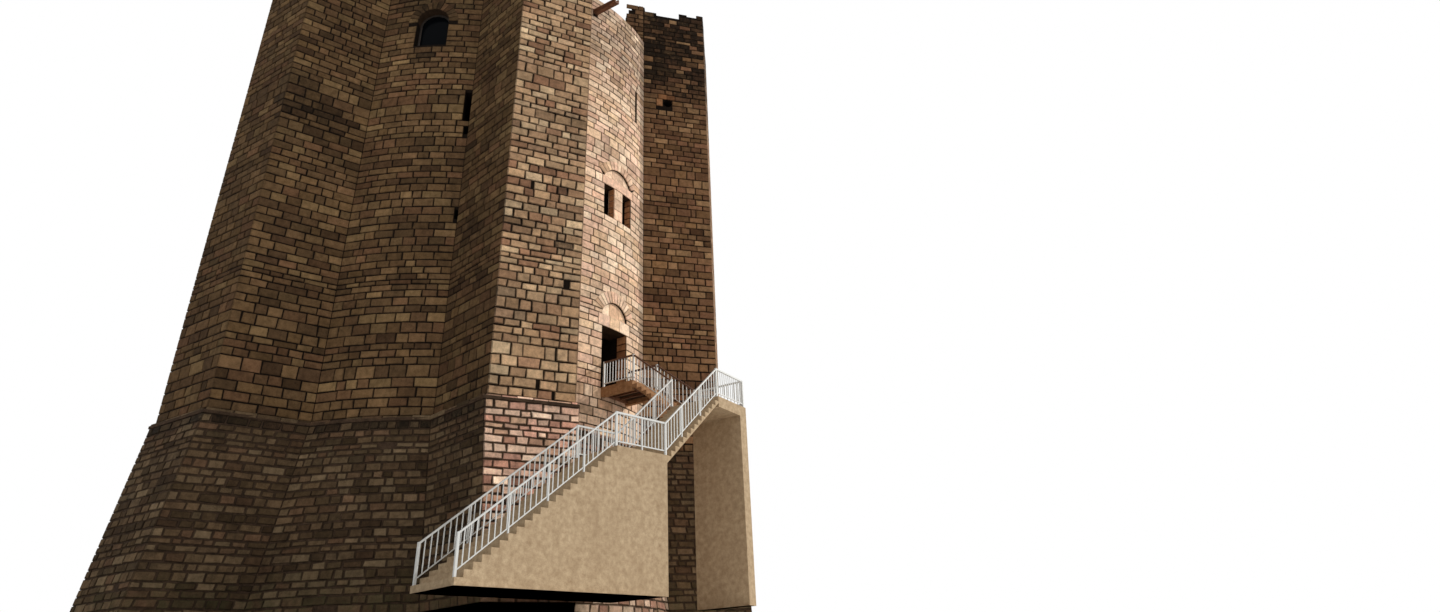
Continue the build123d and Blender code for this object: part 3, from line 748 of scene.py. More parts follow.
    def toned(self, bed: BMesh, wall: Wall, fronts: list[bmesh.types.BMFace], rim: float) -> None:
        """Blacken or bleach whole stones by their place, and darken their arrises a little more, partly as
        wear and partly as painted shade along the joints.

        Args:
            bed: Stones in the flat measures of the face.
            wall: Face that they are set on.
            fronts: Front of each stone, inside its arris.
            rim: How much blacker the arris is than the face.
        """
        layer = bed.faces.layers.float_color["stone"]
        for face in fronts:
            tone = face[layer].copy()
            middle = face.calc_center_median()
            point = wall.place(middle.x, middle.y, 0.0)
            black, pale = self.blackness(point), self.paleness(point)
            around = {other for edge in face.edges for other in edge.link_faces}
            outer = {other for part in around for edge in part.edges for other in edge.link_faces}
            for part in outer:
                # Arrises darker than the face: partly wear, partly painted shade along the joints.
                worn = 0.0 if part is face else rim
                part[layer] = (tone[0], min(1.0, tone[1] + pale), min(1.0, black + worn), 1.0)

    @staticmethod
    def cut(bed: BMesh) -> None:
        """Cut a long stone upright, so that it can follow a round wall.

        Args:
            bed: The stone in the flat measures of the face.
        """
        left, right = (pick(vert.co.x for vert in bed.verts) for pick in (min, max))
        for step in range(1, BEND_CUTS):
            place = (left + (right - left) * step / BEND_CUTS, 0.0, 0.0)
            geometry = [*bed.verts, *bed.edges, *bed.faces]
            bmesh.ops.bisect_plane(bed, geom=geometry, plane_co=place, plane_no=(1.0, 0.0, 0.0))

    @staticmethod
    def paleness(point: Vector) -> float:
        """How much paler than others a stone is."""
        return max(spot.at(point) for spot in BLEACHED)

    def blackness(self, point: Vector) -> float:
        """How black a stone is, from its height, the spots near it and the painted shadow under the string
        course.

        Args:
            point: Middle of the stone.

        Returns:
            The blackness, from 0 to 1.
        """
        value = max(spot.at(point) for spot in SPOTS)
        outer = math.hypot(point.x, point.y) > SIZES.drum + 0.2
        ruin = outer and point.x > 2.0 and point.y < -6.0
        if ruin:
            value = max(value, climbed(point.z, 24.2, 3.2))
        elif outer:
            value = max(value, 0.55 * climbed(point.z, 28.0, 3.5))
        elif abs(point.x) < 2.4 and point.y < 0.0:
            value = max(value, 0.42 * climbed(point.z, 23.6, 3.0))
        # Painted shadow under the string course: stones just below it are darkened, most on the shaded feet.
        near = abs(point.z - SIZES.string_foot + 0.12)
        band, reach = (0.9, 0.34) if self.finish == "low_shade" else (0.12, 0.5)
        value += max(0.0, band * (1 - near / reach))
        share = self.dice.choice(RUIN_SHARES) if ruin else self.dice.uniform(0.35, 1.25)
        return min(1.0, value * share + self.dice.choice((0, 0, 0, 0, 0.12)))

    def ring(
        self,
        wall: Wall,
        centre: Plan,
        radii: Plan,
        turns: Plan,
        count: int,
        proud: float = 0.046,
    ) -> None:
        """Lay the wedge stones of an arch.

        Args:
            wall: Face that is laid.
            centre: Middle of the arch, along and up the face.
            radii: Inner and outer radius.
            turns: First and last angle in degrees, from the right-hand side.
            count: Number of stones.
            proud: How far they stand out.
        """
        bed = self.bed()
        inner, outer = radii[0] + 0.004, radii[1] + 0.03
        step = math.radians(turns[1] - turns[0]) / count
        for index in range(count):
            first = math.radians(turns[0]) + index * step
            last = first + step

            def at(radius: float, turn: float, side: float) -> Plan:
                """Corner of a wedge, held back by half a joint."""
                turn += side * 0.012 / radius
                return centre[0] + radius * math.cos(turn), centre[1] + radius * math.sin(turn)

            corners = [at(inner, last, -1), at(inner, first, 1), at(outer, first, 1), at(outer, last, -1)]
            tone = (self.dice.random(), self.dice.random())
            self.stone(bed, corners, proud - 0.01, 0.003, tone)
        self.finish_bed(bed, wall, 0.012, 0.25)

    def filling(self, wall: Wall, centre: Plan, radius: float, low: float) -> None:
        """Fill the half disc under an arch with three stones.

        Args:
            wall: Face that is laid.
            centre: Middle of the arch, along and up the face.
            radius: Inner radius of the arch.
            low: Level of the bed on the lintel.
        """
        bed = self.bed()
        edge = math.sqrt(radius ** 2 - (low - centre[1]) ** 2) - 0.03
        joint = radius * 0.36

        def up(x: float) -> float:
            """Level just under the arch."""
            return centre[1] + math.sqrt((radius - 0.02) ** 2 - x ** 2)

        shapes = [
            [
                (-edge, low + 0.01),
                (-joint - 0.012, low + 0.01),
                (-joint - 0.012, up(joint)),
                (-radius * 0.74, up(radius * 0.74)),
            ],
            [
                (-joint + 0.012, low + 0.01),
                (joint - 0.012, low + 0.01),
                (joint - 0.012, up(joint)),
                (-joint + 0.012, up(joint)),
            ],
            [
                (joint + 0.012, low + 0.01),
                (edge, low + 0.01),
                (radius * 0.74, up(radius * 0.74)),
                (joint + 0.012, up(joint)),
            ],
        ]
        for shape in shapes:
            corners = [(centre[0] + x, level) for x, level in shape]
            self.stone(bed, corners, 0.006, 0.001, (self.dice.random(), self.dice.uniform(0.5, 1.0)))
        self.finish_bed(bed, wall, 0.008, 0.1)

    def slabs(self, wall: Wall, places: list[Edges], proud: float = 0.032) -> None:
        """Lay single stones, each given by its left, right, low and high edge.

        Args:
            wall: Face that is laid.
            places: Edges of each stone.
            proud: How far they stand out.
        """
        bed = self.bed()
        for left, right, low, high in places:
            corners = [(left + 0.01, low + 0.01), (right - 0.01, low + 0.01)]
            corners += [(right - 0.01, high - 0.01), (left + 0.01, high - 0.01)]
            self.stone(bed, corners, proud - 0.01, 0.002, (self.dice.random(), self.dice.random()))
        self.finish_bed(bed, wall, 0.012, 0.15, len(places) == 1)

    def ledge(self, wall: Wall) -> None:
        """Lay the worn stones of the string course above a battered foot.

        Args:
            wall: Face of the battered foot.
        """
        bed = self.bed()
        along = 0.02
        while along < wall.width - 0.15:
            length = min(self.dice.uniform(0.5, 1.0), wall.width - along - 0.02)
            if self.dice.random() > 0.06:
                high = SIZES.string_top - self.dice.uniform(0.01, 0.04)
                low = SIZES.string_foot + self.dice.uniform(0.02, 0.05)
                corners = [
                    (along, low), (along + length - 0.03, low), (along + length - 0.03, high), (along, high),
                ]
                tone = (self.dice.random(), self.dice.uniform(0.45, 1.0))
                self.stone(
                    bed, corners, SIZES.string_reach - 0.01 + self.dice.uniform(-0.03, 0.012), 0.008, tone,
                )
            along += length
        self.finish_bed(bed, wall, 0.012, 0.05)

    def made(self) -> bpy.types.Object:
        """Turn the gathered stones into a piece that rides on the keep."""
        return piece_of(self.mesh, self.name, self.finish)


@dataclass
class Graph:
    """Node tree of a material or of a group, with short ways to add to it."""

    tree: Tree

    def node(self, kind: str, **settings: object) -> Node:
        """Add a node and set its plain properties.

        Args:
            kind: Blender's name for the node.
            settings: Properties by name.

        Returns:
            The node.
        """
        made = self.tree.nodes.new(kind)
        for key, value in settings.items():
            setattr(made, key, value)
        return made

    def wire(self, start: Socket, stop: Socket) -> None:
        """Join two sockets."""
        self.tree.links.new(start, stop)

    def feed(self, socket: Socket, value: object) -> None:
        """Join a socket to another, or give it a plain value.

        Args:
            socket: Input that is fed.
            value: Another socket, or a plain value.
        """
        if isinstance(value, Socket):
            self.wire(value, socket)
        else:
            socket.default_value = value

    def maths(self, kind: str, first: object, second: object = 0.0, clamp: bool = False) -> Socket:
        """Result of an operation on two values.

        Args:
            kind: Operation.
            first, second: Sockets or plain values.
            clamp: Whether the result is held between 0 and 1.

        Returns:
            The result.
        """
        made = self.node("ShaderNodeMath", operation=kind, use_clamp=clamp)
        self.feed(made.inputs[0], first)
        self.feed(made.inputs[1], second)
        return made.outputs[0]

    def times(self, first: object, second: object, clamp: bool = False) -> Socket:
        """Product of two values."""
        return self.maths("MULTIPLY", first, second, clamp)

    def plus(self, first: object, second: object) -> Socket:
        """Sum of two values."""
        return self.maths("ADD", first, second)

    def blend(self, share: object, first: object, second: object, kind: str = "MIX") -> Socket:
        """Mix of two colours.

        Args:
            share: Share of the second colour.
            first, second: Sockets or colours.
            kind: How they are mixed.

        Returns:
            The mixed colour.
        """
        made = self.node("ShaderNodeMix", data_type="RGBA", blend_type=kind)
        made.clamp_factor = True
        self.feed(made.inputs[0], share)
        for socket, value in ((made.inputs[6], first), (made.inputs[7], second)):
            self.feed(socket, (*value, 1.0) if isinstance(value, tuple) else value)
        return made.outputs[2]

    def place(self) -> Socket:
        """Place in the measures of the piece."""
        return self.node("ShaderNodeTexCoord").outputs["Object"]

    def noise(self, place: Socket, scale: object, detail: float = 4.0, rough: float = 0.6) -> Socket:
        """Noise value at a place.

        Args:
            place: Where it is read.
            scale: How fine it is.
            detail: Number of finer layers.
            rough: Strength of the finer layers.

        Returns:
            The noise, from 0 to 1.
        """
        made = self.node("ShaderNodeTexNoise")
        self.wire(place, made.inputs["Vector"])
        self.feed(made.inputs["Scale"], scale)
        made.inputs["Detail"].default_value = detail
        made.inputs["Roughness"].default_value = rough
        return made.outputs["Fac"]

    def stretched(self, place: Socket, scale: Colour) -> Socket:
        """Place stretched by a scale on each axis.

        Args:
            place: The place.
            scale: Scale on X, Y and Z.

        Returns:
            The stretched place.
        """
        made = self.node("ShaderNodeMapping")
        self.wire(place, made.inputs["Vector"])
        made.inputs["Scale"].default_value = scale
        return made.outputs["Vector"]

    def spread(self, value: object, low: float, high: float, start: float = 0.0, stop: float = 1.0) -> Socket:
        """Value mapped from one range to another, and held there.

        Args:
            value: Socket or plain value.
            low, high: Range that it comes from.
            start, stop: Range that it goes to.

        Returns:
            The mapped value.
        """
        made = self.node("ShaderNodeMapRange", clamp=True)
        self.feed(made.inputs[0], value)
        for index, number in enumerate((low, high, start, stop), 1):
            made.inputs[index].default_value = number
        return made.outputs[0]

    def ramp(self, value: object, colours: tuple[Colour, ...]) -> Socket:
        """Colour picked from an even row of colours.

        Args:
            value: Choice from 0 to 1.
            colours: The row.

        Returns:
            The colour.
        """
        made = self.node("ShaderNodeValToRGB")
        self.feed(made.inputs[0], value)
        band = made.color_ramp
        stops = [(index / (len(colours) - 1), colour) for index, colour in enumerate(colours)]
        while len(band.elements) < len(stops):
            band.elements.new(0.5)
        for element, (place, colour) in zip(band.elements, stops):
            element.position = place
            element.color = (*colour, 1.0)
        return made.outputs[0]


@dataclass
class Groups:
    """Effects that several finishes share, each built once."""

    made: dict[str, Tree] = field(default_factory=dict)

    def tree(
        self,
        name: str,
        inputs: dict[str, tuple[str, object]],
        outputs: dict[str, str],
    ) -> tuple[Graph, Node, Node]:
        """Start a group with its sockets.

        Args:
            name: Name of the group.
            inputs: Kind and first value of each input.
            outputs: Kind of each output.

        Returns:
            The graph, and its input and output node.
        """
        tree = bpy.data.node_groups.new(name, "ShaderNodeTree")
        for key, (kind, value) in inputs.items():
            socket = tree.interface.new_socket(name=key, in_out="INPUT", socket_type=kind)
            socket.default_value = value
        for key, kind in outputs.items():
            tree.interface.new_socket(name=key, in_out="OUTPUT", socket_type=kind)
        graph = Graph(tree)
        self.made[name] = tree
        return graph, graph.node("NodeGroupInput"), graph.node("NodeGroupOutput")

    def weather(self) -> Tree:
        """Rain streaks, broad patches and growth near the ground, as masks.

        Returns:
            The group, built once.
        """
        if "weather" in self.made:
            return self.made["weather"]
        number = "NodeSocketFloat"
        graph, source, sink = self.tree(
            "weather",
            {"Streaks": (number, 1.0)},
            {"Streak": number, "Patch": number, "Growth": number},
        )
        place = graph.place()
        streak = graph.noise(graph.stretched(place, (1.3, 1.3, 0.16)), 1.6, 5.0, 0.65)
        streak = graph.spread(streak, 0.50, 0.78)
        graph.wire(graph.times(streak, source.outputs["Streaks"]), sink.inputs["Streak"])
        graph.wire(graph.spread(graph.noise(place, 0.42, 3.0), 0.35, 0.68), sink.inputs["Patch"])
        parts = graph.node("ShaderNodeSeparateXYZ")
        graph.wire(place, parts.inputs[0])
        low = graph.spread(parts.outputs[2], 0.0, 1.6, 1.0, 0.0)
        green = graph.times(low, graph.spread(graph.noise(place, 2.2, 5.0), 0.4, 0.65))
        graph.wire(green, sink.inputs["Growth"])
        return graph.tree

    def grain(self) -> Tree:
        """Grain, pits and chisel marks of a stone or a cast face.

        Returns:
            The group, built once.
        """
        if "grain" in self.made:
            return self.made["grain"]
        number = "NodeSocketFloat"
        graph, source, sink = self.tree(
            "grain",
            {"Scale": (number, 1.0), "Pits": (number, 1.0)},
            {"Tint": number, "Height": number},
        )
        place = graph.place()
        scale = source.outputs["Scale"]
        fine = graph.noise(place, graph.times(scale, 34.0), 5.0, 0.7)
        broad = graph.noise(place, graph.times(scale, 5.0), 4.0, 0.6)
        cells = graph.node("ShaderNodeTexVoronoi", feature="F1")
        graph.wire(place, cells.inputs["Vector"])
        graph.feed(cells.inputs["Scale"], graph.times(scale, 22.0))
        pits = graph.spread(cells.outputs["Distance"], 0.05, 0.35)
        pits = graph.times(graph.maths("SUBTRACT", pits, 1.0), source.outputs["Pits"])
        tint = graph.plus(graph.times(fine, 0.45), graph.times(broad, 0.55))
        graph.wire(tint, sink.inputs["Tint"])
        height = graph.plus(graph.times(fine, 0.35), graph.times(broad, 0.9))
        graph.wire(graph.plus(height, graph.times(pits, 0.3)), sink.inputs["Height"])
        return graph.tree


GROUPS = Groups()
MATT = 0.08


@dataclass(frozen=True)
class Ashlar:
    """Weathered stone whose colour changes from block to block."""

    name: str
    blocks: tuple[Colour, ...]
    soot: Colour = srgb(38, 32, 27)
    lightness: float = 1.0
    spread: Plan = (0.72, 1.22)
    streaks: float = 0.5
    relief: float = 0.012

    def build(self) -> bpy.types.Material:
        """Make the material.

        Returns:
            The material.
        """
        material, graph, shader = started(self.name)
        mark = graph.node("ShaderNodeAttribute", attribute_name="stone")
        parts = graph.node("ShaderNodeSeparateColor")
        graph.wire(mark.outputs["Color"], parts.inputs[0])
        colour = graph.ramp(parts.outputs[0], self.blocks)
        weather = placed(graph, GROUPS.weather(), {"Streaks": self.streaks})
        grain = placed(graph, GROUPS.grain(), {"Scale": 1.0, "Pits": 1.0})
        low, high = (share * self.lightness for share in self.spread)
        value = graph.spread(parts.outputs[1], 0.0, 1.0, low, high)
        value = graph.times(value, graph.spread(grain.outputs["Tint"], 0.36, 0.64, 0.66, 1.36))
        value = graph.times(value, graph.spread(weather.outputs["Patch"], 0.0, 1.0, 1.06, 0.88))
        shade = graph.node("ShaderNodeCombineXYZ")
        for socket in shade.inputs:
            graph.wire(value, socket)
        colour = graph.blend(1.0, colour, shade.outputs[0], "MULTIPLY")
        black = graph.plus(parts.outputs[2], graph.times(weather.outputs["Streak"], 0.42))
        black = graph.times(
            black, graph.spread(grain.outputs["Tint"], 0.35, 0.65, 1.15, 0.75), True,
        )
        colour = graph.blend(graph.times(black, 0.96), colour, self.soot)
        colour = graph.blend(
            graph.times(weather.outputs["Growth"], 0.4), colour, srgb(86, 88, 58),
        )
        graph.wire(colour, shader.inputs["Base Color"])
        dulled(shader, 0.92)
        bumped(graph, shader, grain.outputs["Height"], self.relief)
        return material


@dataclass(frozen=True)
class Earthy:
    """Plain mineral surface, such as mortar, rubble, paving or cast stone."""

    name: str
    light: Colour
    dark: Colour
    relief: float = 0.01
    scale: float = 1.0
    streaks: float = 0.4
    rough: float = 0.93

    def build(self) -> bpy.types.Material:
        """Make the material.

        Returns:
            The material.
        """
        material, graph, shader = started(self.name)
        weather = placed(graph, GROUPS.weather(), {"Streaks": self.streaks})
        grain = placed(graph, GROUPS.grain(), {"Scale": self.scale, "Pits": 0.6})
        share = graph.spread(grain.outputs["Tint"], 0.32, 0.68)
        colour = graph.blend(share, self.dark, self.light)
        dull = graph.plus(
            weather.outputs["Streak"], graph.times(weather.outputs["Patch"], 0.35),
        )
        colour = graph.blend(graph.times(dull, 0.5), colour, self.dark)
        graph.wire(colour, shader.inputs["Base Color"])
        dulled(shader, self.rough)
        bumped(graph, shader, grain.outputs["Height"], self.relief)
        return material


@dataclass(frozen=True)
class Core:
    """Dark mortar in the joints, and paler rubble where the core lies open to the sky."""

    name: str
    light: Colour
    dark: Colour
    rubble: tuple[Colour, ...] = tones((150, 126, 100), (112, 92, 72), (168, 146, 120), (128, 104, 84))

    def build(self) -> bpy.types.Material:
        """Make the material.

        Returns:
            The material.
        """
        material, graph, shader = started(self.name)
        grain = placed(graph, GROUPS.grain(), {"Scale": 1.3, "Pits": 0.8})
        joint = graph.blend(graph.spread(grain.outputs["Tint"], 0.32, 0.68), self.dark, self.light)
        place = graph.place()
        stones = graph.node("ShaderNodeTexVoronoi", feature="F1")
        gaps = graph.node("ShaderNodeTexVoronoi", feature="DISTANCE_TO_EDGE")
        for cells in (stones, gaps):
            graph.wire(place, cells.inputs["Vector"])
            cells.inputs["Scale"].default_value = 2.6
        parts = graph.node("ShaderNodeSeparateColor")
        graph.wire(stones.outputs["Color"], parts.inputs[0])
        edge = graph.spread(gaps.outputs["Distance"], 0.02, 0.09)
        rubble = graph.blend(edge, joint, graph.ramp(parts.outputs[0], self.rubble))
        face = graph.node("ShaderNodeSeparateXYZ")
        graph.wire(graph.node("ShaderNodeNewGeometry").outputs["Normal"], face.inputs[0])
        sky = graph.spread(face.outputs[2], 0.6, 0.85)
        graph.wire(graph.blend(sky, joint, rubble), shader.inputs["Base Color"])
        dulled(shader, 0.94)
        height = graph.plus(
            grain.outputs["Height"], graph.times(sky, graph.times(edge, 2.0)),
        )
        bumped(graph, shader, height, 0.03)
        return material


@dataclass(frozen=True)
class Painted:
    """Brushed paint on metal, dulled and rust-stained in places."""

    name: str
    paint: Colour
    stain: Colour
    share: float = 0.25
    rough: float = 0.42

    def build(self) -> bpy.types.Material:
        """Make the material.

        Returns:
            The material.
        """
        material, graph, shader = started(self.name)
        place = graph.place()
        grain = placed(graph, GROUPS.grain(), {"Scale": 1.4, "Pits": 0.2})
        spots = graph.spread(graph.noise(place, 9.0, 6.0, 0.7), 0.60, 0.74)
        colour = graph.blend(graph.times(spots, self.share), self.paint, self.stain)
        tint = graph.spread(grain.outputs["Tint"], 0.3, 0.7, 0.0, 0.16)
        colour = graph.blend(tint, colour, self.stain)
        graph.wire(colour, shader.inputs["Base Color"])
        graph.wire(graph.spread(spots, 0.0, 1.0, self.rough, 0.8), shader.inputs["Roughness"])
        bumped(graph, shader, grain.outputs["Height"], 0.002)
        return material


@dataclass(frozen=True)
class Timber:
    """Weathered or oiled wood with grain along one axis."""

    name: str
    light: Colour
    dark: Colour
    along: Colour
    rough: float = 0.75

    def build(self) -> bpy.types.Material:
        """Make the material.

        Returns:
            The material.
        """
        material, graph, shader = started(self.name)
        place = graph.place()
        fibre = graph.noise(graph.stretched(place, self.along), 9.0, 6.0, 0.7)
        colour = graph.blend(graph.spread(fibre, 0.32, 0.7), self.dark, self.light)
        broad = graph.spread(graph.noise(place, 1.4, 3.0), 0.3, 0.7, 0.0, 0.45)
        colour = graph.blend(broad, colour, self.dark)
        graph.wire(colour, shader.inputs["Base Color"])
        shader.inputs["Roughness"].default_value = self.rough
        bumped(graph, shader, fibre, 0.006)
        return material


@dataclass(frozen=True)
class Glazed:
    """Dark pane of glass."""

    name: str
    colour: Colour

    def build(self) -> bpy.types.Material:
        """Make the material.

        Returns:
            The material.
        """
        material, graph, shader = started(self.name)
        place = graph.place()
        smear = graph.spread(graph.noise(place, 1.8, 3.0), 0.3, 0.7, 0.05, 0.16)
        shader.inputs["Base Color"].default_value = (*self.colour, 1.0)
        graph.wire(smear, shader.inputs["Roughness"])
        shader.inputs["IOR"].default_value = 1.5
        shader.inputs["Specular IOR Level"].default_value = 0.02
        return material


def started(name: str) -> tuple[bpy.types.Material, Graph, Node]:
    """Start a material.

    Args:
        name: Name of the material.

    Returns:
        The material, its graph and its shader.
    """
    material = bpy.data.materials.new(name)
    material.use_nodes = True
    graph = Graph(material.node_tree)
    return material, graph, material.node_tree.nodes["Principled BSDF"]


def placed(graph: Graph, group: Tree, values: dict[str, float]) -> Node:
    """Place a shared effect in a material with its own values.

    Args:
        graph: Graph of the material.
        group: The effect.
        values: Value of each input.

    Returns:
        The node that holds the effect.
    """
    made = graph.node("ShaderNodeGroup", node_tree=group)
    for key, value in values.items():
        made.inputs[key].default_value = value
    return made


def dulled(shader: Node, rough: float) -> None:
    """Make a surface rough and matt."""
    shader.inputs["Roughness"].default_value = rough
    shader.inputs["Specular IOR Level"].default_value = MATT


def bumped(graph: Graph, shader: Node, height: Socket, depth: float) -> None:
    """Roughen a surface by a height.

    Args:
        graph: Graph of the material.
        shader: Shader that is roughened.
        height: The height.
        depth: Depth of the relief in metres.
    """
    bump = graph.node("ShaderNodeBump")
    bump.inputs["Strength"].default_value = 0.9
    bump.inputs["Distance"].default_value = depth
    graph.wire(height, bump.inputs["Height"])
    graph.wire(bump.outputs["Normal"], shader.inputs["Normal"])


# Soot for the shaded finishes, darker than the plain soot as painted shade.
SHADED_SOOT = srgb(32, 26, 20)
WALL_BLOCKS = tones(
    (150, 120, 94), (172, 142, 112), (134, 106, 84), (156, 122, 100),
    (184, 156, 126), (124, 98, 78), (166, 134, 102), (142, 112, 92),
)
NOSE_BLOCKS = tones(
    (168, 136, 104), (186, 156, 122), (150, 116, 88), (138, 102, 78),
    (198, 172, 138), (160, 128, 96), (174, 142, 110), (152, 120, 92),
)
# Painted sunlight: the entrance bay and its dressings are paler than the other walls, as if lit by the sun.
SUNLIT_DOOR_BLOCKS = tones(
    (216, 184, 156), (228, 200, 172), (206, 168, 142), (220, 186, 162),
    (232, 208, 180), (196, 160, 130), (222, 192, 158), (210, 174, 150),
)
SHADE_BLOCKS = tones(
    (104, 81, 57), (120, 94, 65), (90, 70, 49), (110, 81, 58),
    (132, 107, 74), (80, 60, 43), (114, 89, 60), (98, 74, 52),
)
# Painted shade: darker red-brown stone for the right turret's left flank and broken head, which lie in shade.
RED_BROWN_SHADE_BLOCKS = tones(
    (112, 83, 59), (130, 98, 70), (98, 71, 51), (116, 83, 61),
    (144, 114, 82), (86, 61, 43), (120, 91, 62), (104, 75, 54),
)
PLINTH_BLOCKS = tones(
    (168, 134, 112), (196, 166, 144), (144, 104, 86), (172, 132, 114),
    (212, 186, 162), (128, 92, 76), (178, 146, 120), (156, 118, 98),
)
# Painted shade: the reveals, and the stones round the flank hole, take the darker warm brown of stone in
# shade.
SHADED_REVEAL_BLOCKS = tones((176, 124, 84), (192, 140, 98), (160, 108, 72), (184, 132, 90))
LOW_SHADE_BLOCKS = tones(
    (104, 84, 61), (124, 103, 78), (90, 71, 52), (112, 86, 65),
    (138, 117, 90), (82, 66, 47), (116, 94, 70), (98, 78, 58),
)


class Finish(Protocol):
    """Finish that can be made into a material."""

    def build(self) -> bpy.types.Material:
        """Make the material."""


@dataclass
class FinishBook:
    """All finishes by name, each built when it is first asked for."""

    plans: dict[str, Finish]
    made: dict[str, bpy.types.Material] = field(default_factory=dict)

    def get(self, name: str) -> bpy.types.Material:
        """Finish of a name.

        Args:
            name: Name of the finish.

        Returns:
            The material.
        """
        if name not in self.made:
            self.made[name] = self.plans[name].build()
        return self.made[name]


FINISHES = FinishBook({
    "wall": Ashlar("wall_ashlar", WALL_BLOCKS, streaks=0.6, relief=0.02),
    "nose": Ashlar("rough_ashlar", NOSE_BLOCKS, lightness=1.32, spread=(0.60, 1.30), relief=0.035),
    # The entrance bay's finish is the wall stone paled by painted sunlight.
    "door_bay": Ashlar(
        "sunlit_bay_ashlar", SUNLIT_DOOR_BLOCKS, lightness=1.08, spread=(0.74, 1.24), streaks=0.3, relief=0.014,
    ),
    "shade": Ashlar("shaded_ashlar", SHADE_BLOCKS, SHADED_SOOT, 1.08, (0.62, 1.36), 0.7, 0.022),
    "deep_shade": Ashlar("deep_shaded_ashlar", SHADE_BLOCKS, SHADED_SOOT, 0.80, (0.60, 1.38), 0.7, 0.022),
    # Red-brown stone darkened as painted shade, for the right turret's shaded faces.
    "ruddy": Ashlar("ruddy_ashlar", RED_BROWN_SHADE_BLOCKS, SHADED_SOOT, 1.32, (0.60, 1.40), 0.7, 0.022),
    "plinth": Ashlar("plinth_ashlar", PLINTH_BLOCKS, spread=(0.55, 1.30), streaks=0.8, relief=0.03),
    "pale_plinth": Ashlar(
        "pale_plinth_ashlar", PLINTH_BLOCKS, lightness=1.98, spread=(0.40, 1.45), streaks=0.9, relief=0.035,
    ),
    "low_shade": Ashlar("low_shaded_ashlar", LOW_SHADE_BLOCKS, SHADED_SOOT, 0.80, (0.54, 1.46), 0.8, 0.03),
    # Reveal stone darkened to a warm brown as painted shade.
    "reveal": Ashlar("shaded_reveal_ashlar", SHADED_REVEAL_BLOCKS, streaks=0.2),
    "dressed": Earthy("dressed_stone", srgb(222, 192, 164), srgb(178, 146, 118), 0.006, 0.9, 0.3),
    # Painted shade: a dark finish for the undersides of the lintels, of the round window's arch and of the
    # landing.
    "shaded_soffit": Earthy("underside_painted_shade", srgb(74, 56, 42), srgb(40, 30, 22), 0.01, 1.0),
    "mortar": Core("mortar", srgb(38, 29, 21), srgb(16, 12, 9)),
    "string": Earthy("string_stone", srgb(96, 76, 60), srgb(44, 35, 28), 0.014, 0.8, 0.9),
    "paving": Earthy("paving", srgb(120, 108, 92), srgb(70, 62, 52), 0.01, 0.7),
    "cast": Earthy("cast_stone", srgb(206, 184, 152), srgb(150, 126, 98), 0.006, 1.2, 0.6, 0.85),
    "warm_cast": Earthy("warm_cast_stone", srgb(190, 148, 108), srgb(120, 84, 56), 0.006, 1.2, 0.7, 0.85),
    "lead": Painted("roof_lead", srgb(132, 136, 142), srgb(92, 94, 98), 0.6, 0.5),
    "white": Painted("white_paint", srgb(216, 218, 216), srgb(140, 130, 114)),
    "brown": Painted("brown_paint", srgb(92, 60, 42), srgb(54, 38, 30), 0.5, 0.5),
    "frame": Timber("frame_wood", srgb(58, 46, 36), srgb(28, 22, 18), (1.0, 1.0, 0.1)),
    "spout": Timber("spout_wood", srgb(142, 92, 58), srgb(74, 46, 30), (0.3, 0.1, 1.0)),
    "boards": Timber("floor_boards", srgb(124, 88, 56), srgb(72, 48, 30), (1.0, 0.08, 1.0), 0.6),
    "glass": Glazed("dark_glass", srgb(9, 11, 14)),
})


